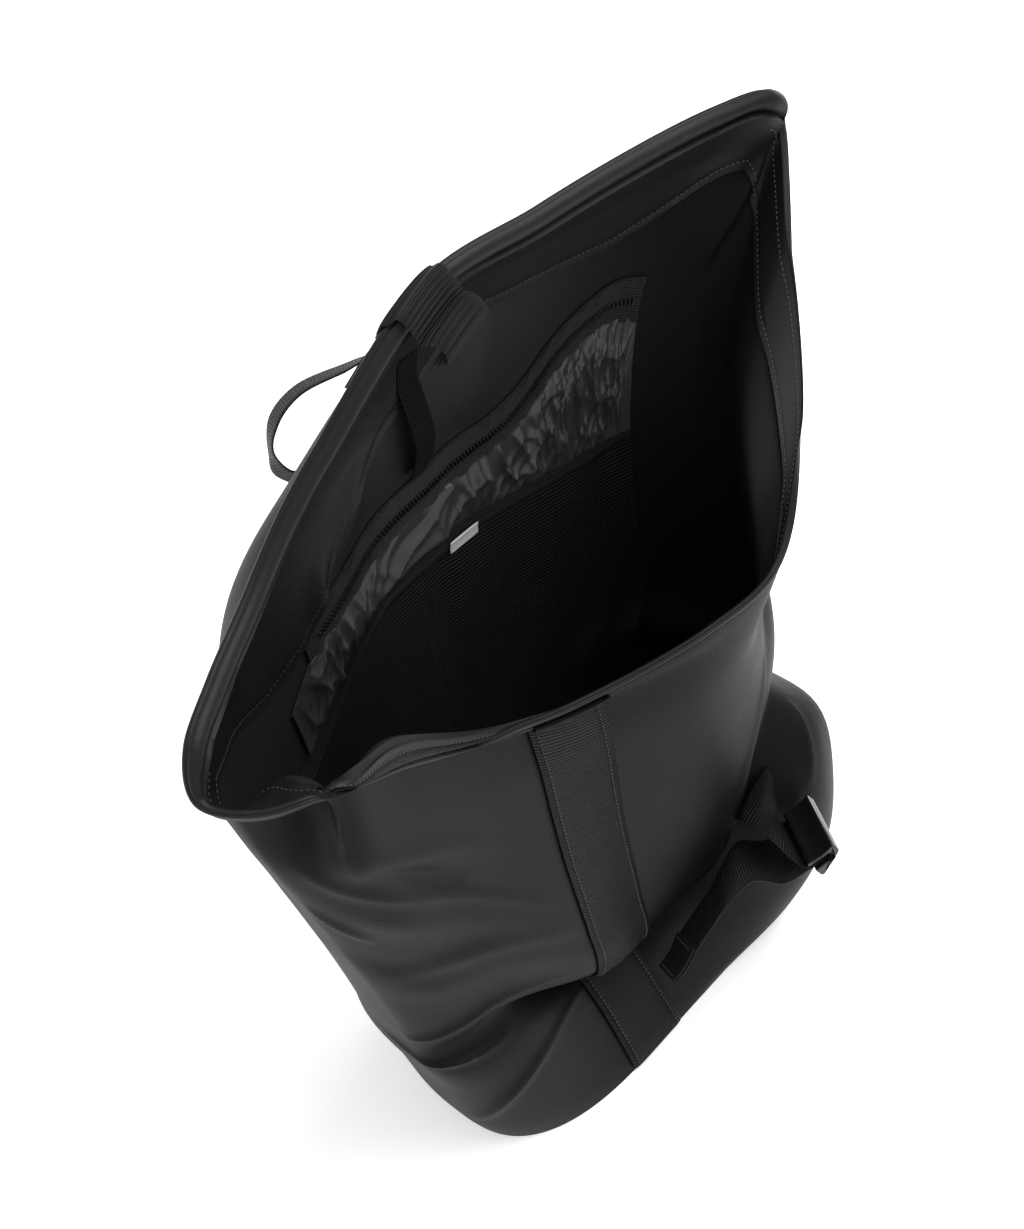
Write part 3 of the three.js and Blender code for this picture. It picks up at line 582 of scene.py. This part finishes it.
def stitches(name, path, out, finish, pitch=0.0033, wide=0.0008, proud=0.0004):
    """A row of short thread lengths along a path: each a small box, sunk half into the cloth."""
    run = run_along(path)
    half_length = 0.3 * pitch
    middles = np.arange(pitch, run[-1] - pitch, pitch)
    at = np.stack([np.interp(middles, run, path[:, n]) for n in range(3)], -1)
    ahead = np.stack([np.interp(middles + half_length, run, path[:, n]) for n in range(3)], -1)
    forward = unit(ahead - at)
    away = unit(np.stack([np.interp(middles, run, out[:, n]) for n in range(3)], -1))
    side = unit(np.cross(forward, away))
    box = np.array([(x, y, z) for x in (-1, 1) for y in (-1, 1) for z in (-1, 1)])
    shrink = np.where(box[:, 2:] > 0, 0.75, 1)
    points = (at[:, None] + forward[:, None] * (box[:, :1] * shrink * half_length)
              + side[:, None] * (box[:, 1:2] * shrink * wide / 2) + away[:, None] * (box[:, 2:] * proud))
    faces = np.array([(0, 1, 3, 2), (4, 6, 7, 5), (0, 4, 5, 1), (2, 3, 7, 6), (0, 2, 6, 4), (1, 5, 7, 3)])
    every = (np.arange(len(middles))[:, None, None] * 8 + faces).reshape(-1, 4)
    mesh = bpy.data.meshes.new(name)
    mesh.from_pydata(points.reshape(-1, 3).tolist(), [], every.tolist())
    return settle(name, mesh, finish, 30)


def thread_finish(name, grey):
    """Sewing thread: dull, with a slight change of tone from stitch to stitch."""
    finish = Finish(name)
    tone = finish.noise(300, 1)
    return finish.dress({"Base Color": finish.mix(tone, (grey, grey, grey, 1), (grey * 1.5,) * 3 + (1,)),
                         "Roughness": tone * 0.2 + 0.6})


thread = thread_finish("thread", 0.04)


def seam(name, turn, level, lift):
    """Stitches on the cloth along turns and levels: on its outside or, with a lift below 0, its inside."""
    way = way_out(turn, level) * (1 if np.mean(lift) >= 0 else -1)
    return stitches(name, cloth(turn, level, lift), way, thread)


around = np.linspace(0, 360, 1400)
seam_levels = facing_level(around) + stitch_up
seam("facing_stitch", around, seam_levels, facing_lift(around, seam_levels))
front_turns = np.linspace(165, 375, 700)
seam("hem_stitch", front_turns, 8.86 + 0 * front_turns, facing_lift(front_turns, 8.86))


# The front webbing: wide woven tape sewn flat down the middle of the front, from the mouth's edge
# through the fold to the base, its two borders stitched down.
wide_webbing = 0.050
webbing_thick = 0.0018
strip_lay = 0.0012
strip_sunk = 0.0006
strip_stitch_at = 0.09
strip_route = table("level aside", (0.25, 0), (3, -0.04), (5, -0.1), (7, -0.2), (9, -0.24))


def turn_at(x, level):
    """The turn on the front where the loft has a given x: halving between two turns."""
    left_turn, right_turn, halvings = 200, 340, 22
    low, high = left_turn + 0 * x, right_turn + 0 * x
    for _ in range(halvings):
        middle = (low + high) / 2
        left = loft(middle, level)[..., 0] < x
        low, high = np.where(left, middle, low), np.where(left, high, middle)
    return (low + high) / 2


def edged(count):
    """Shares across a tape from edge to edge, closer together at both edges."""
    return 0.5 - 0.5 * np.cos(np.pi * np.arange(count) / (count - 1))


def rounded_edges(u, power=8, least=0.12):
    """A tape's thickness at shares across it: full, then rounded off to the least at both edges."""
    return np.sqrt(np.clip(1 - np.abs(2 * u - 1) ** power, least, 1))


def tape(name, near, far, finish, u, v, sharp=50):
    """A closed tape between two grids of points, rows along it and columns across it."""
    width = np.concatenate([u, u[::-1]])
    return solid(name, np.concatenate([near, far[:, ::-1]], 1), "strip", finish, v, width, sharp)


def webbing_finish(name, rib, grey, depth=0.0005, shine=0.5, glint=0.2, border=None):
    """Woven tape: ribs across it every so many metres, threads crossing them, and, where border gives
    the tape's width and the border's, two denser and darker borders. The colour is lighter on the ribs
    and darker between them, painted highlight and shade, over a random mottle."""
    finish = Finish(name)
    weave = finish.node("ShaderNodeUVMap", {"uv_map": "weave"}, {})
    split = finish.node("ShaderNodeSeparateXYZ", {}, {0: weave})
    u, v = split, Wire(finish, split.socket.node.outputs[1])
    thread_wide = 0.55 * rib
    rows = (v * (2 * np.pi / rib)).sine()
    threads = (u * (2 * np.pi / thread_wide) + rows * 1.2).sine()
    woven = rows * 0.75 + threads * 0.25
    mottle = finish.noise(60, 3)
    # Painted highlight and shade: the colour follows the ribs' height, lighter on them and darker between
    # them; the mottle is random tone.
    tone = woven * 0.3 + mottle * 0.4 + 0.3
    dark, light, dense = [(grey * k, grey * k, grey * k, 1) for k in (0.45, 1.8, 0.2)]
    colour = finish.mix(tone, dark, light)
    if border:
        wide, narrow = border
        colour = finish.mix((u - wide / 2).size().above(wide / 2 - narrow) * 0.75, colour, dense)
    return finish.dress({
        "Base Color": colour,
        "Roughness": woven * -0.08 + shine,
        "Specular IOR Level": glint,
        "Normal": finish.bump(woven, depth, 0.8),
    })


strip_webbing = webbing_finish("front webbing", 0.0014, 0.006, 0.0006, 0.4, 0.16, (wide_webbing, 0.0045))
strip_levels = over_fold(strip_route["level"][0], rim_level - 0.02, 60, 90, 110)
strip_aside = np.interp(strip_levels, strip_route["level"], strip_route["aside"])
u = edged(17)[None, :]
levels = strip_levels[:, None]
strip_turns = turn_at((strip_aside[:, None] + u - 0.5) * wide_webbing, levels + 0 * u)
strip = tape("front_tape", cloth(strip_turns, levels, strip_lay - strip_sunk),
             cloth(strip_turns, levels, strip_lay + webbing_thick * rounded_edges(u, 10, 0.08)),
             strip_webbing, u[0] * wide_webbing, strip_levels * level_long)
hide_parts("front_webbing")
for side, share in (("left", strip_stitch_at), ("right", 1 - strip_stitch_at)):
    turn_line = turn_at((strip_aside + share - 0.5) * wide_webbing, strip_levels)
    seam("strip_stitch_" + side, turn_line, strip_levels, strip_lay + webbing_thick)


# The rim tab: two turns of ribbed tape folded over the roll, standing up in a loop inside it and
# sewn through beside the edge.
tab_turn = 91.5
tab_half = 4
tab_tail = 0.042
tab_wide = 0.05
tab_rib, rib_tall, rib_sunk = 0.0029, 0.0007, 0.0004
# The tab's way inside the roll, in thicknesses of the roll.
tab_route = table("inward high", (0.18, 1.58), (1.15, 1.2), (1.5, 0.8), (1.85, 1.15), (2.5, 1.2),
                  (2.85, 0.75), (2.3, 0.3))


def route(points, count):
    """A curve through points whose steps grow with the square root of the spans, cubic between points."""
    points = np.asarray(points, float)
    points = np.vstack([2 * points[0] - points[1], points, 2 * points[-1] - points[-2]])
    spans = np.sqrt(np.linalg.norm(np.diff(points, axis=0), axis=1))
    at = np.linspace(0, len(points) - 3, count + 1)
    i = np.minimum(at.astype(int), len(points) - 4)
    t = (at - i)[:, None]
    p0, p1, p2, p3 = (points[i + k] for k in range(4))
    d0, d1, d2 = (np.where(spans[i + k] < 1e-6, 1, spans[i + k])[:, None] for k in range(3))
    m1 = ((p1 - p0) / d0 - (p2 - p0) / (d0 + d1) + (p2 - p1) / d1) * d1
    m2 = ((p2 - p1) / d1 - (p3 - p1) / (d1 + d2) + (p3 - p2) / d2) * d1
    return ((2 * t ** 3 - 3 * t ** 2 + 1) * p1 + (t ** 3 - 2 * t ** 2 + t) * m1
            + (3 * t ** 2 - 2 * t ** 3) * p2 + (t ** 3 - t ** 2) * m2)


def ribbon(name, path, across, width, thick, finish, sharp=50):
    """A tape along a path, with the way across it at each point, and its edges rounded off."""
    forward = unit(np.gradient(path, axis=0))
    side = unit(across)
    face = unit(np.cross(forward, side))
    u = edged(11)
    half = thick / 2 * rounded_edges(u)
    flat = path[:, None] + side[:, None] * ((u - 0.5) * width)[None, :, None]
    rise = face[:, None] * half[None, :, None]
    return tape(name, flat - rise, flat + rise, finish, u * width, run_along(path), sharp)


def level_below(turn, length):
    """The level that lies a length below the edge at a turn."""
    levels = np.linspace(rim_level, 6, 300)
    return np.interp(length, run_along(loft(turn, levels)), levels)


def tab_path(turn, count):
    """Up the outside, round the roll, then by the route's rows inside it."""
    reach = roll_at(turn) / 2 + seat + webbing_thick / 2
    outside = [cloth(turn, level_below(tab_turn, share * tab_tail), lay + webbing_thick / 2)
               for share in (1, 0.55, 0.2)]
    over = [rim_point(turn, roll_core(turn) + reach * np.cos(a), seat + roll_at(turn) / 2 + reach * np.sin(a))
            for a in np.radians([185, 150, 115])]
    inside = [rim_point(turn, a * roll_thick, b * roll_thick) for a, b in zip(*tab_route.values())]
    return route(outside + over + inside, count)


tab_webbing = webbing_finish("tab webbing", tab_rib / 3, 0.006, 0.0002, 0.4, 0.25)
u = edged(13)
tab_lines = np.stack([tab_path(np.float64(a), 480) for a in tab_turn + tab_half * (1 - 2 * u)], 1)
tab_forward = unit(np.gradient(tab_lines, axis=0))
tab_across = unit(np.gradient(tab_lines, axis=1))
tab_face = unit(np.cross(tab_across, tab_forward))
run = run_along(tab_lines[:, len(u) // 2])
tab_ribs = rib_tall * np.abs(np.sin(np.pi * run / tab_rib))[:, None, None]
tab_lines = tab_lines + tab_face * (tab_ribs - rib_sunk)
tab_rise = tab_face * rounded_edges(u)[None, :, None] * webbing_thick / 2
tab = tape("rim_tape", tab_lines - tab_rise, tab_lines + tab_rise, tab_webbing, u * tab_wide, run)
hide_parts("rim_tab")


# The grab handle: narrow ribbed tape, its two ends sewn to the back under the mouth's edge and its
# middle arched out as a loop for the hand.
handle_webbing = 0.020
# The handle's middle line as shares of the body's size, and at each place the way across the tape.
handle_arch = np.array([
    (-0.176, 0.75, 0.835, 0, -0.8, 0.6), (-0.167, 0.815, 0.847, -0.35, -0.68, 0.64),
    (-0.132, 0.861, 0.864, -0.38, -0.82, 0.42), (-0.077, 0.856, 0.878, -0.45, -0.79, 0.42),
    (-0.003, 0.785, 0.885, -0.55, -0.68, 0.46), (0.04, 0.74, 0.887, -0.65, -0.5, 0.55),
])
body_size = np.array([body_width, body_depth, back_height])
ribbed = webbing_finish("ribbed webbing", 0.0019, 0.0045, 0.0007, 0.42, 0.15)
handle_ends = [(98.5, 7.95), (84.0, 7.85)]
end_points = [cloth(a, b, 0.7 * webbing_thick) for a, b in handle_ends]
end_ways = [unit(cloth(a, b + 0.1) - cloth(a, b - 0.1)) for a, b in handle_ends]
handle_path = route([end_points[0], *handle_arch[:, :3] * body_size, end_points[1]], 130)
handle_ways = route([end_ways[0], *unit(handle_arch[:, 3:]), end_ways[1]], 130)
handle = ribbon("handle_tape", handle_path, handle_ways, handle_webbing, webbing_thick, ribbed)
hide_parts("grab_handle")


# The laptop sleeve: padded knit on the inner back wall, open at the top, with a bound edge and a
# seam down its middle.
sleeve_from, sleeve_to = 34, 146
sleeve_bottom = 0.9
sleeve_middle = 0.45
sleeve_low, sleeve_rise = 6.42, 0.3
sleeve_pad = 0.008
seam_turn, seam_deep, seam_half = 89, 0.0025, 0.003
sag_deep = 0.0012
binding_gap, binding_tall, binding_sunk = 0.012, 0.05, 0.02


def along_sleeve(turn):
    return (turn - sleeve_from) / (sleeve_to - sleeve_from)


def sleeve_level(turn):
    return sleeve_low + sleeve_rise * smooth(np.abs(along_sleeve(turn) - sleeve_middle), 0, 0.55)


def pad_at(turn):
    share = along_sleeve(turn)
    return sleeve_pad * (0.35 + 0.65 * np.minimum(1, 6 * np.minimum(share, 1 - share)))


def clung(name, turns, levels, near, far, finish, sharp=50):
    """A sheet on the shell between two lifts. levels has a row for each line along it."""
    return tape(name, cloth(turns[None, :], levels, near), cloth(turns[None, :], levels, far), finish,
                turns * degree_long, np.mean(levels, 1) * level_long, sharp)


knit = webbing_finish("padded knit", 0.0021, 0.009, 0.0005, 0.6)
turns = np.linspace(sleeve_from, sleeve_to, 170)
v = np.linspace(0, 1, 160)[:, None]
levels = sleeve_bottom + v * (sleeve_level(turns)[None, :] - sleeve_bottom)
dimple = seam_deep * np.exp(-((turns[None, :] - seam_turn) * degree_long / seam_half) ** 2)
sag = sag_deep * np.sin(turns[None, :] * 0.21 + 4 * v) * np.sin(9 * v + turns[None, :] * 0.05)
padding = pad_at(turns)[None, :] * (0.5 + 0.5 * np.minimum(1, v * 4)) - dimple + sag
sleeve = clung("sleeve_pad", turns, levels, lined_at + 0 * padding, lined_at - padding, knit)
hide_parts("laptop_sleeve")

bound_edge = webbing_finish("bound edge", 0.0011, 0.01, 0.0003, 0.6)
v = np.linspace(0, 1, 5)[:, None]
levels = (sleeve_level(turns)[None, :] + binding_gap - binding_sunk
          + v * (binding_tall + binding_sunk))
binding = clung("sleeve_edge", turns, levels, lined_at + 0 * levels,
                lined_at - pad_at(turns)[None, :] - 0.0008 * np.sin(np.pi * v), bound_edge)
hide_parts("sleeve_binding")


# The zip pocket above the sleeve: thin crinkled nylon gathered under a zip tape, whose coil of
# plastic teeth runs along its middle.
zip_from, zip_to = 34, 110
pocket_to = 119
zip_line = np.array([7.8, 7.82, 7.62, 7.2, 7.0, 6.98, 7.28])
zip_half = 0.013 / 0.080  # in levels
ruffle_tall = 0.0009
tape_proud = 0.0006
crumple_tall = 0.0042
on_lining = -(fabric_wall + lay)


def zip_level(turn):
    return along_rows(zip_line, (turn - zip_from) / (zip_to - zip_from) * (len(zip_line) - 1))


tape_weave = webbing_finish("zip tape", 0.0014, 0.02, 0.0005, 0.55, 0.3)
turns = np.linspace(zip_from, zip_to, 150)
v = np.linspace(-1, 1, 9)[:, None]
levels = zip_level(turns)[None, :] + v * zip_half
ruffle = ruffle_tall * np.sin(turns * 1.3)[None, :] * np.abs(v)
zip_tape = clung("zip_band", turns, levels, on_lining + 0 * levels,
                 on_lining - facing_thick - ruffle - tape_proud, tape_weave)
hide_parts("zip_tape")


def teeth(name, turn, level, lift, finish):
    """A coil zip: short flat loops across the tape, side by side along its middle."""
    return stitches(name, cloth(turn, level, lift), -way_out(turn, level), finish,
                    pitch=0.0026, wide=0.0044, proud=0.0016)


coil_plastic = Finish("zip coil")
coil_black = coil_plastic.dress({
    "Base Color": coil_plastic.mix(coil_plastic.noise(500, 1), (0.003, 0.003, 0.003, 1),
                                   (0.008, 0.008, 0.008, 1)),
    "Roughness": coil_plastic.noise(200, 2) * 0.2 + 0.3,
})
coil_turns = np.linspace(zip_from + 2, zip_to - 2, 600)
coil = teeth("zip_teeth", coil_turns, zip_level(coil_turns), on_lining - facing_thick - 2 * tape_proud,
             coil_black)
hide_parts("zip_coil")

nylon = Finish("pocket nylon")
crinkle = nylon.noise(50, 4)
nylon_black = nylon.dress({
    "Base Color": nylon.mix(crinkle, (0.03, 0.0295, 0.028, 1), (0.05, 0.049, 0.047, 1)),
    "Roughness": crinkle * 0.15 + 0.32,
    "Specular IOR Level": 0.6,
    "Normal": nylon.bump(crinkle, 0.0012, 0.4),
})
pocket_turns = np.linspace(zip_from, pocket_to, 290)
v = np.linspace(0, 1, 60)[:, None]
low = sleeve_level(pocket_turns)[None, :] + 2 * binding_gap + binding_tall - 0.03
high = zip_level(np.minimum(pocket_turns, zip_to))[None, :] - zip_half - binding_gap + 0.04
levels = low + v * (high - low)
crumple_waves = np.array([(0.22, 3, 0.4), (0.4, -5, 1.9), (0.6, 7, 4.4), (0.95, -4, 0.9), (0.15, 6, 2.2)])
crumple = 0 * levels
for turn_rate, level_rate, start in crumple_waves:
    wave = np.sin(pocket_turns[None, :] * turn_rate + level_rate * levels + start
                  + 1.5 * np.sin(0.31 * pocket_turns[None, :] + 2 * levels * start))
    crumple = crumple + (1 - np.abs(wave)) ** 2 / (1 + turn_rate)
faded = (smooth(pocket_turns, zip_from - 1, zip_from + 12)
         * (1 - smooth(pocket_turns, pocket_to - 9, pocket_to)))
crumple = crumple_tall * crumple * np.sin(np.pi * np.clip(v, 0.03, 0.97)) ** 0.5 * (0.1 + 0.9 * faded)
pocket = clung("pocket_cloth", pocket_turns, levels, on_lining + 0 * levels,
               on_lining - facing_thick - crumple, nylon_black, 70)
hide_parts("pocket_fabric")


# The hanging loop: narrow ribbed tape on the inner back wall, sewn in under the facing and again at
# the zip tape, and slack between the two.
loop_turn = 89.4
loop_webbing = 0.016
# Levels down the wall, and how far the loop stands off it in widths of its tape.
loop_rows = [(8.25, 0), (8.0, 0.03), (7.82, 0.3), (7.55, 0.6), (7.32, 0.4), (7.18, 0.1)]
loop_lift = on_lining - webbing_thick / 2
loop_path = route([cloth(loop_turn, a, loop_lift - b * loop_webbing) for a, b in loop_rows], 60)
loop_ways = np.tile([1.0, 0, 0], (len(loop_path), 1))
loop = ribbon("loop_tape", loop_path, loop_ways, loop_webbing, webbing_thick, ribbed)
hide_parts("hang_loop")


# The label: a blank folded tab of white satin tape, caught in the sleeve's bound edge and leaning
# inward over it.
label_turn = 86.2
label_length, label_height, label_thick = 0.024, 0.009, 0.001
label_level = sleeve_level(label_turn)
label_top = cloth(label_turn, label_level, lined_at - sleeve_pad - seat)
label_way = unit(cloth(label_turn - 2, label_level) - cloth(label_turn + 2, label_level))
label_inward = -way_out(np.float64(label_turn), np.float64(label_level))
label_rows = [(0, 0), (0.1, 0.5), (0.35, 1)]
label_path = route([label_top + label_inward * (lean * label_height * 0.4 + webbing_thick / 2)
                    + np.array([0, 0, (high - 0.3) * label_height]) for lean, high in label_rows], 12)
satin = Finish("label satin")
satin_white = satin.dress({
    "Base Color": satin.mix(satin.noise(700, 2), (0.62, 0.63, 0.64, 1), (0.78, 0.79, 0.8, 1)),
    "Roughness": satin.noise(300, 1) * 0.2 + 0.4,
})
label_ways = np.tile(label_way, (len(label_path), 1))
label = ribbon("label_tab", label_path, label_ways, label_length, label_thick, satin_white)
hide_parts("inner_label")


# The back panel and the shoulder straps: foam under knit, with narrow tape from each strap's end
# down to the base's corner.
panel_from, panel_to = 60, 120
panel_low, panel_high = 0.9, 7.05
panel_pad = 0.012
channel_deep = 0.0022
turns = np.linspace(panel_from, panel_to, 90)
v = np.linspace(0, 1, 150)[:, None]
u = (turns[None, :] - panel_from) / (panel_to - panel_from)
edge = np.minimum(1, 5 * np.minimum(np.minimum(u, 1 - u), np.minimum(v, 1 - v)) + 0.3)
channels = channel_deep * np.exp(-((np.abs(u - 0.5) - 0.17) / 0.03) ** 2)
levels = panel_low + v * (panel_high - panel_low) + 0 * u
panel = clung("panel_pad", turns, levels, seat + 0 * levels, seat + panel_pad * np.sqrt(edge) - channels,
              knit)
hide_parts("back_panel")

shoulder_width, shoulder_pad = 0.068, 0.014
lower_webbing = 0.025
strap_turn = 18
# How many degrees wider than its top each strap goes, its level, and its lift in thicknesses of its pad.
strap_route = table("wider level lift", (0, 7.75, 0), (0.3, 7.6, 0.6), (0.6, 7.3, 1.9), (1.4, 6.8, 2.6),
                    (2, 6.1, 2.7), (3, 5.1, 2.3), (5, 4.1, 1.6), (7, 3.3, 1.25))
lower_route = table("wider level lift", (7.3, 3.2, 1.6), (12, 2.4, 1.3), (18, 1.5, 0.75),
                    (21, 0.9, 0.25), (22, 0.6, 0))


def hung(name, rows, sign, width, thick, count, finish):
    """A strap down the back: its middle follows the rows, its section is a flat pad with round edges."""
    v = np.linspace(0, 1, count)
    at = v * (len(rows["level"]) - 1)
    level = along_rows(rows["level"], at)
    middle = 90 + sign * (strap_turn + along_rows(rows["wider"], at))
    lift = lay + np.maximum(along_rows(rows["lift"], at), 0) * shoulder_pad
    degree = np.linalg.norm(cloth(middle + 2, level) - cloth(middle - 2, level), axis=-1) / 4
    u = edged(19)[None, :]
    turn = middle[:, None] + (u - 0.5) * width / degree[:, None]
    edge = rounded_edges(u, 4, 0.02) * rounded_edges(v, 30, 0.05)[:, None]
    near = cloth(turn, level[:, None], lift[:, None] + thick * 0.5 * (1 - edge))
    far = cloth(turn, level[:, None], lift[:, None] + thick * (0.5 + 0.5 * edge))
    return tape(name, near, far, finish, u[0] * width, run_along(near[:, u.size // 2]))


for side, sign in (("left", 1), ("right", -1)):
    strap = hung("shoulder_pad_" + side, strap_route, sign, shoulder_width, shoulder_pad, 120, knit)
    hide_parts("shoulder_strap_" + side)
    lower = hung("lower_tape_" + side, lower_route, sign, lower_webbing, webbing_thick, 80, ribbed)
    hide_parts("lower_webbing_" + side)


# The buckle, the side strap and its tail: ribbed tape sewn into the fold, through a glossy plastic
# buckle and back out over the front.
strap_webbing = 0.040
buckle_width, buckle_length = 0.046, 0.022
slot_way = unit(np.array([-0.55, -0.83, 0.07]))
away_way = np.array([0.71, -0.42, 0.57])
away_way = unit(away_way - away_way @ slot_way * slot_way)
up_way = np.cross(slot_way, away_way)
buckle_middle = np.array([0.373, -0.598, 0.236]) * body_size
bevel = 0.0009


def in_buckle(slot, away, high):
    return buckle_middle + slot_way * slot + away_way * away + up_way * high


slit_high = 2 * webbing_thick + 10 * seat
slit_top = -0.003
strap_layer = slit_top - seat - webbing_thick / 2
tail_layer = slit_top - slit_high + seat + webbing_thick / 2
gloss = Finish("buckle plastic")
gloss_black = gloss.dress({
    "Base Color": gloss.mix(gloss.noise(80, 2), (0.005, 0.005, 0.0055, 1), (0.009, 0.009, 0.01, 1)),
    "Roughness": gloss.noise(160, 2) * 0.12 + 0.12,
})
# The buckle's side view, away from the strap and upwards, in shares of half its length and in
# millimetres: a dished top plate, a thick far bar, a lower leg, and the slit between them.
buckle_side = [
    (-1, 0), (-0.86, 0.7), (-0.7, 0.5), (-0.55, -0.3), (0, -0.9), (0.55, -0.4), (0.8, 0.6), (0.95, 0.5),
    (1, -0.6), (0.97, -7.5), (0.7, -9.8), (-0.8, -18.6), (-1, -18.4), (-1.02, -16.5), (-1, -10.1),
    (0.4, -10.1), (0.45, -3.2), (-1, -2.4),
]
ends = np.array([[in_buckle(slot, a * buckle_length / 2, h / 1000) for a, h in buckle_side]
                 for slot in (-buckle_width / 2, buckle_width / 2)])
count = len(buckle_side)
sides = [[k, (k + 1) % count, (k + 1) % count + count, k + count] for k in range(count)]
buckle_mesh = bpy.data.meshes.new("buckle_frame")
buckle_mesh.from_pydata(ends.reshape(-1, 3).tolist(), [],
                        sides + [list(range(count))[::-1], list(range(count, 2 * count))])
buckle = settle("buckle_frame", buckle_mesh, gloss_black, 35)
rounding = buckle.modifiers.new("rounded edges", "BEVEL")
rounding.width, rounding.segments, rounding.limit_method = bevel, 3, "ANGLE"
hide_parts("side_buckle")

fold_turn, fold_half = 300, 5.5
fold_across = unit(cloth(fold_turn - fold_half, valley_level) - cloth(fold_turn + fold_half, valley_level))
# Places along the strap as shares of the body's size, each with the way across the tape there.
strap_places = np.array([
    (0.364, -0.333, 0.248, -0.89, -0.03, -0.45), (0.36, -0.382, 0.249, -0.98, -0.16, -0.05),
    (0.356, -0.424, 0.241, -0.91, -0.34, 0.22), (0.348, -0.469, 0.233, -0.81, -0.43, 0.4),
])
strap_points = [*[cloth(fold_turn, level, lay + webbing_thick / 2) for level in (3.88, 3.65)],
                *strap_places[:, :3] * body_size,
                *[in_buckle(0, share * buckle_length, strap_layer) for share in (-0.66, -0.4, 0.16)]]
strap_ways = [fold_across, fold_across, *unit(strap_places[:, 3:]), *[slot_way] * 3]
side_strap = ribbon("side_tape", route(strap_points, 130), route(strap_ways, 130), strap_webbing,
                    webbing_thick, ribbed)
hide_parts("side_strap")

tail_places = np.array([
    (0.314, -0.528, 0.195, -0.56, -0.82, 0.1), (0.278, -0.439, 0.197, -0.58, -0.78, 0.22),
    (0.231, -0.416, 0.179, -0.59, -0.7, 0.4), (0.204, -0.411, 0.166, -0.54, -0.66, 0.52),
    (0.155, -0.395, 0.141, -0.44, -0.68, 0.59), (0.126, -0.388, 0.128, -0.41, -0.68, 0.61),
    (0.086, -0.398, 0.116, -0.4, -0.66, 0.64), (0.056, -0.393, 0.107, -0.4, -0.65, 0.64),
])
tail_points = [*[in_buckle(0, share * buckle_length, tail_layer) for share in (0.05, -0.4, -0.62)],
               *tail_places[:, :3] * body_size]
tail_ways = [*[slot_way] * 3, *unit(tail_places[:, 3:])]
# The tail is the same ribbed tape as the strap, its colour painted lighter: painted light over the shade it
# lies in.
tail_webbing_lit = webbing_finish("tail webbing, painted lighter", 0.0019, 0.011, 0.001, 0.38, 0.4)
tail_path, tail_sides = route(tail_points, 170), unit(route(tail_ways, 170))
tail = ribbon("tail_tape", tail_path, tail_sides, strap_webbing, webbing_thick, tail_webbing_lit)
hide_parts("strap_tail")
# The tail's end is folded back on itself and sewn with two rows of stitches.
turned = slice(-34, None)
tail_face = unit(np.cross(np.gradient(tail_path, axis=0), tail_sides))
fold_path = tail_path[turned] + tail_face[turned] * (webbing_thick * 0.97)
ribbon("tail_fold", fold_path, tail_sides[turned], strap_webbing * 0.985, webbing_thick, tail_webbing_lit)
for number, inset in enumerate((3, 30)):
    middle = fold_path[inset] + tail_face[turned][inset] * webbing_thick / 2
    across = (np.linspace(-0.44, 0.44, 40) * strap_webbing)[:, None] * tail_sides[turned][inset]
    faces = np.tile(tail_face[turned][inset], (len(across), 1))
    stitches(f"tail_stitch_{number}", middle + across, faces, thread)
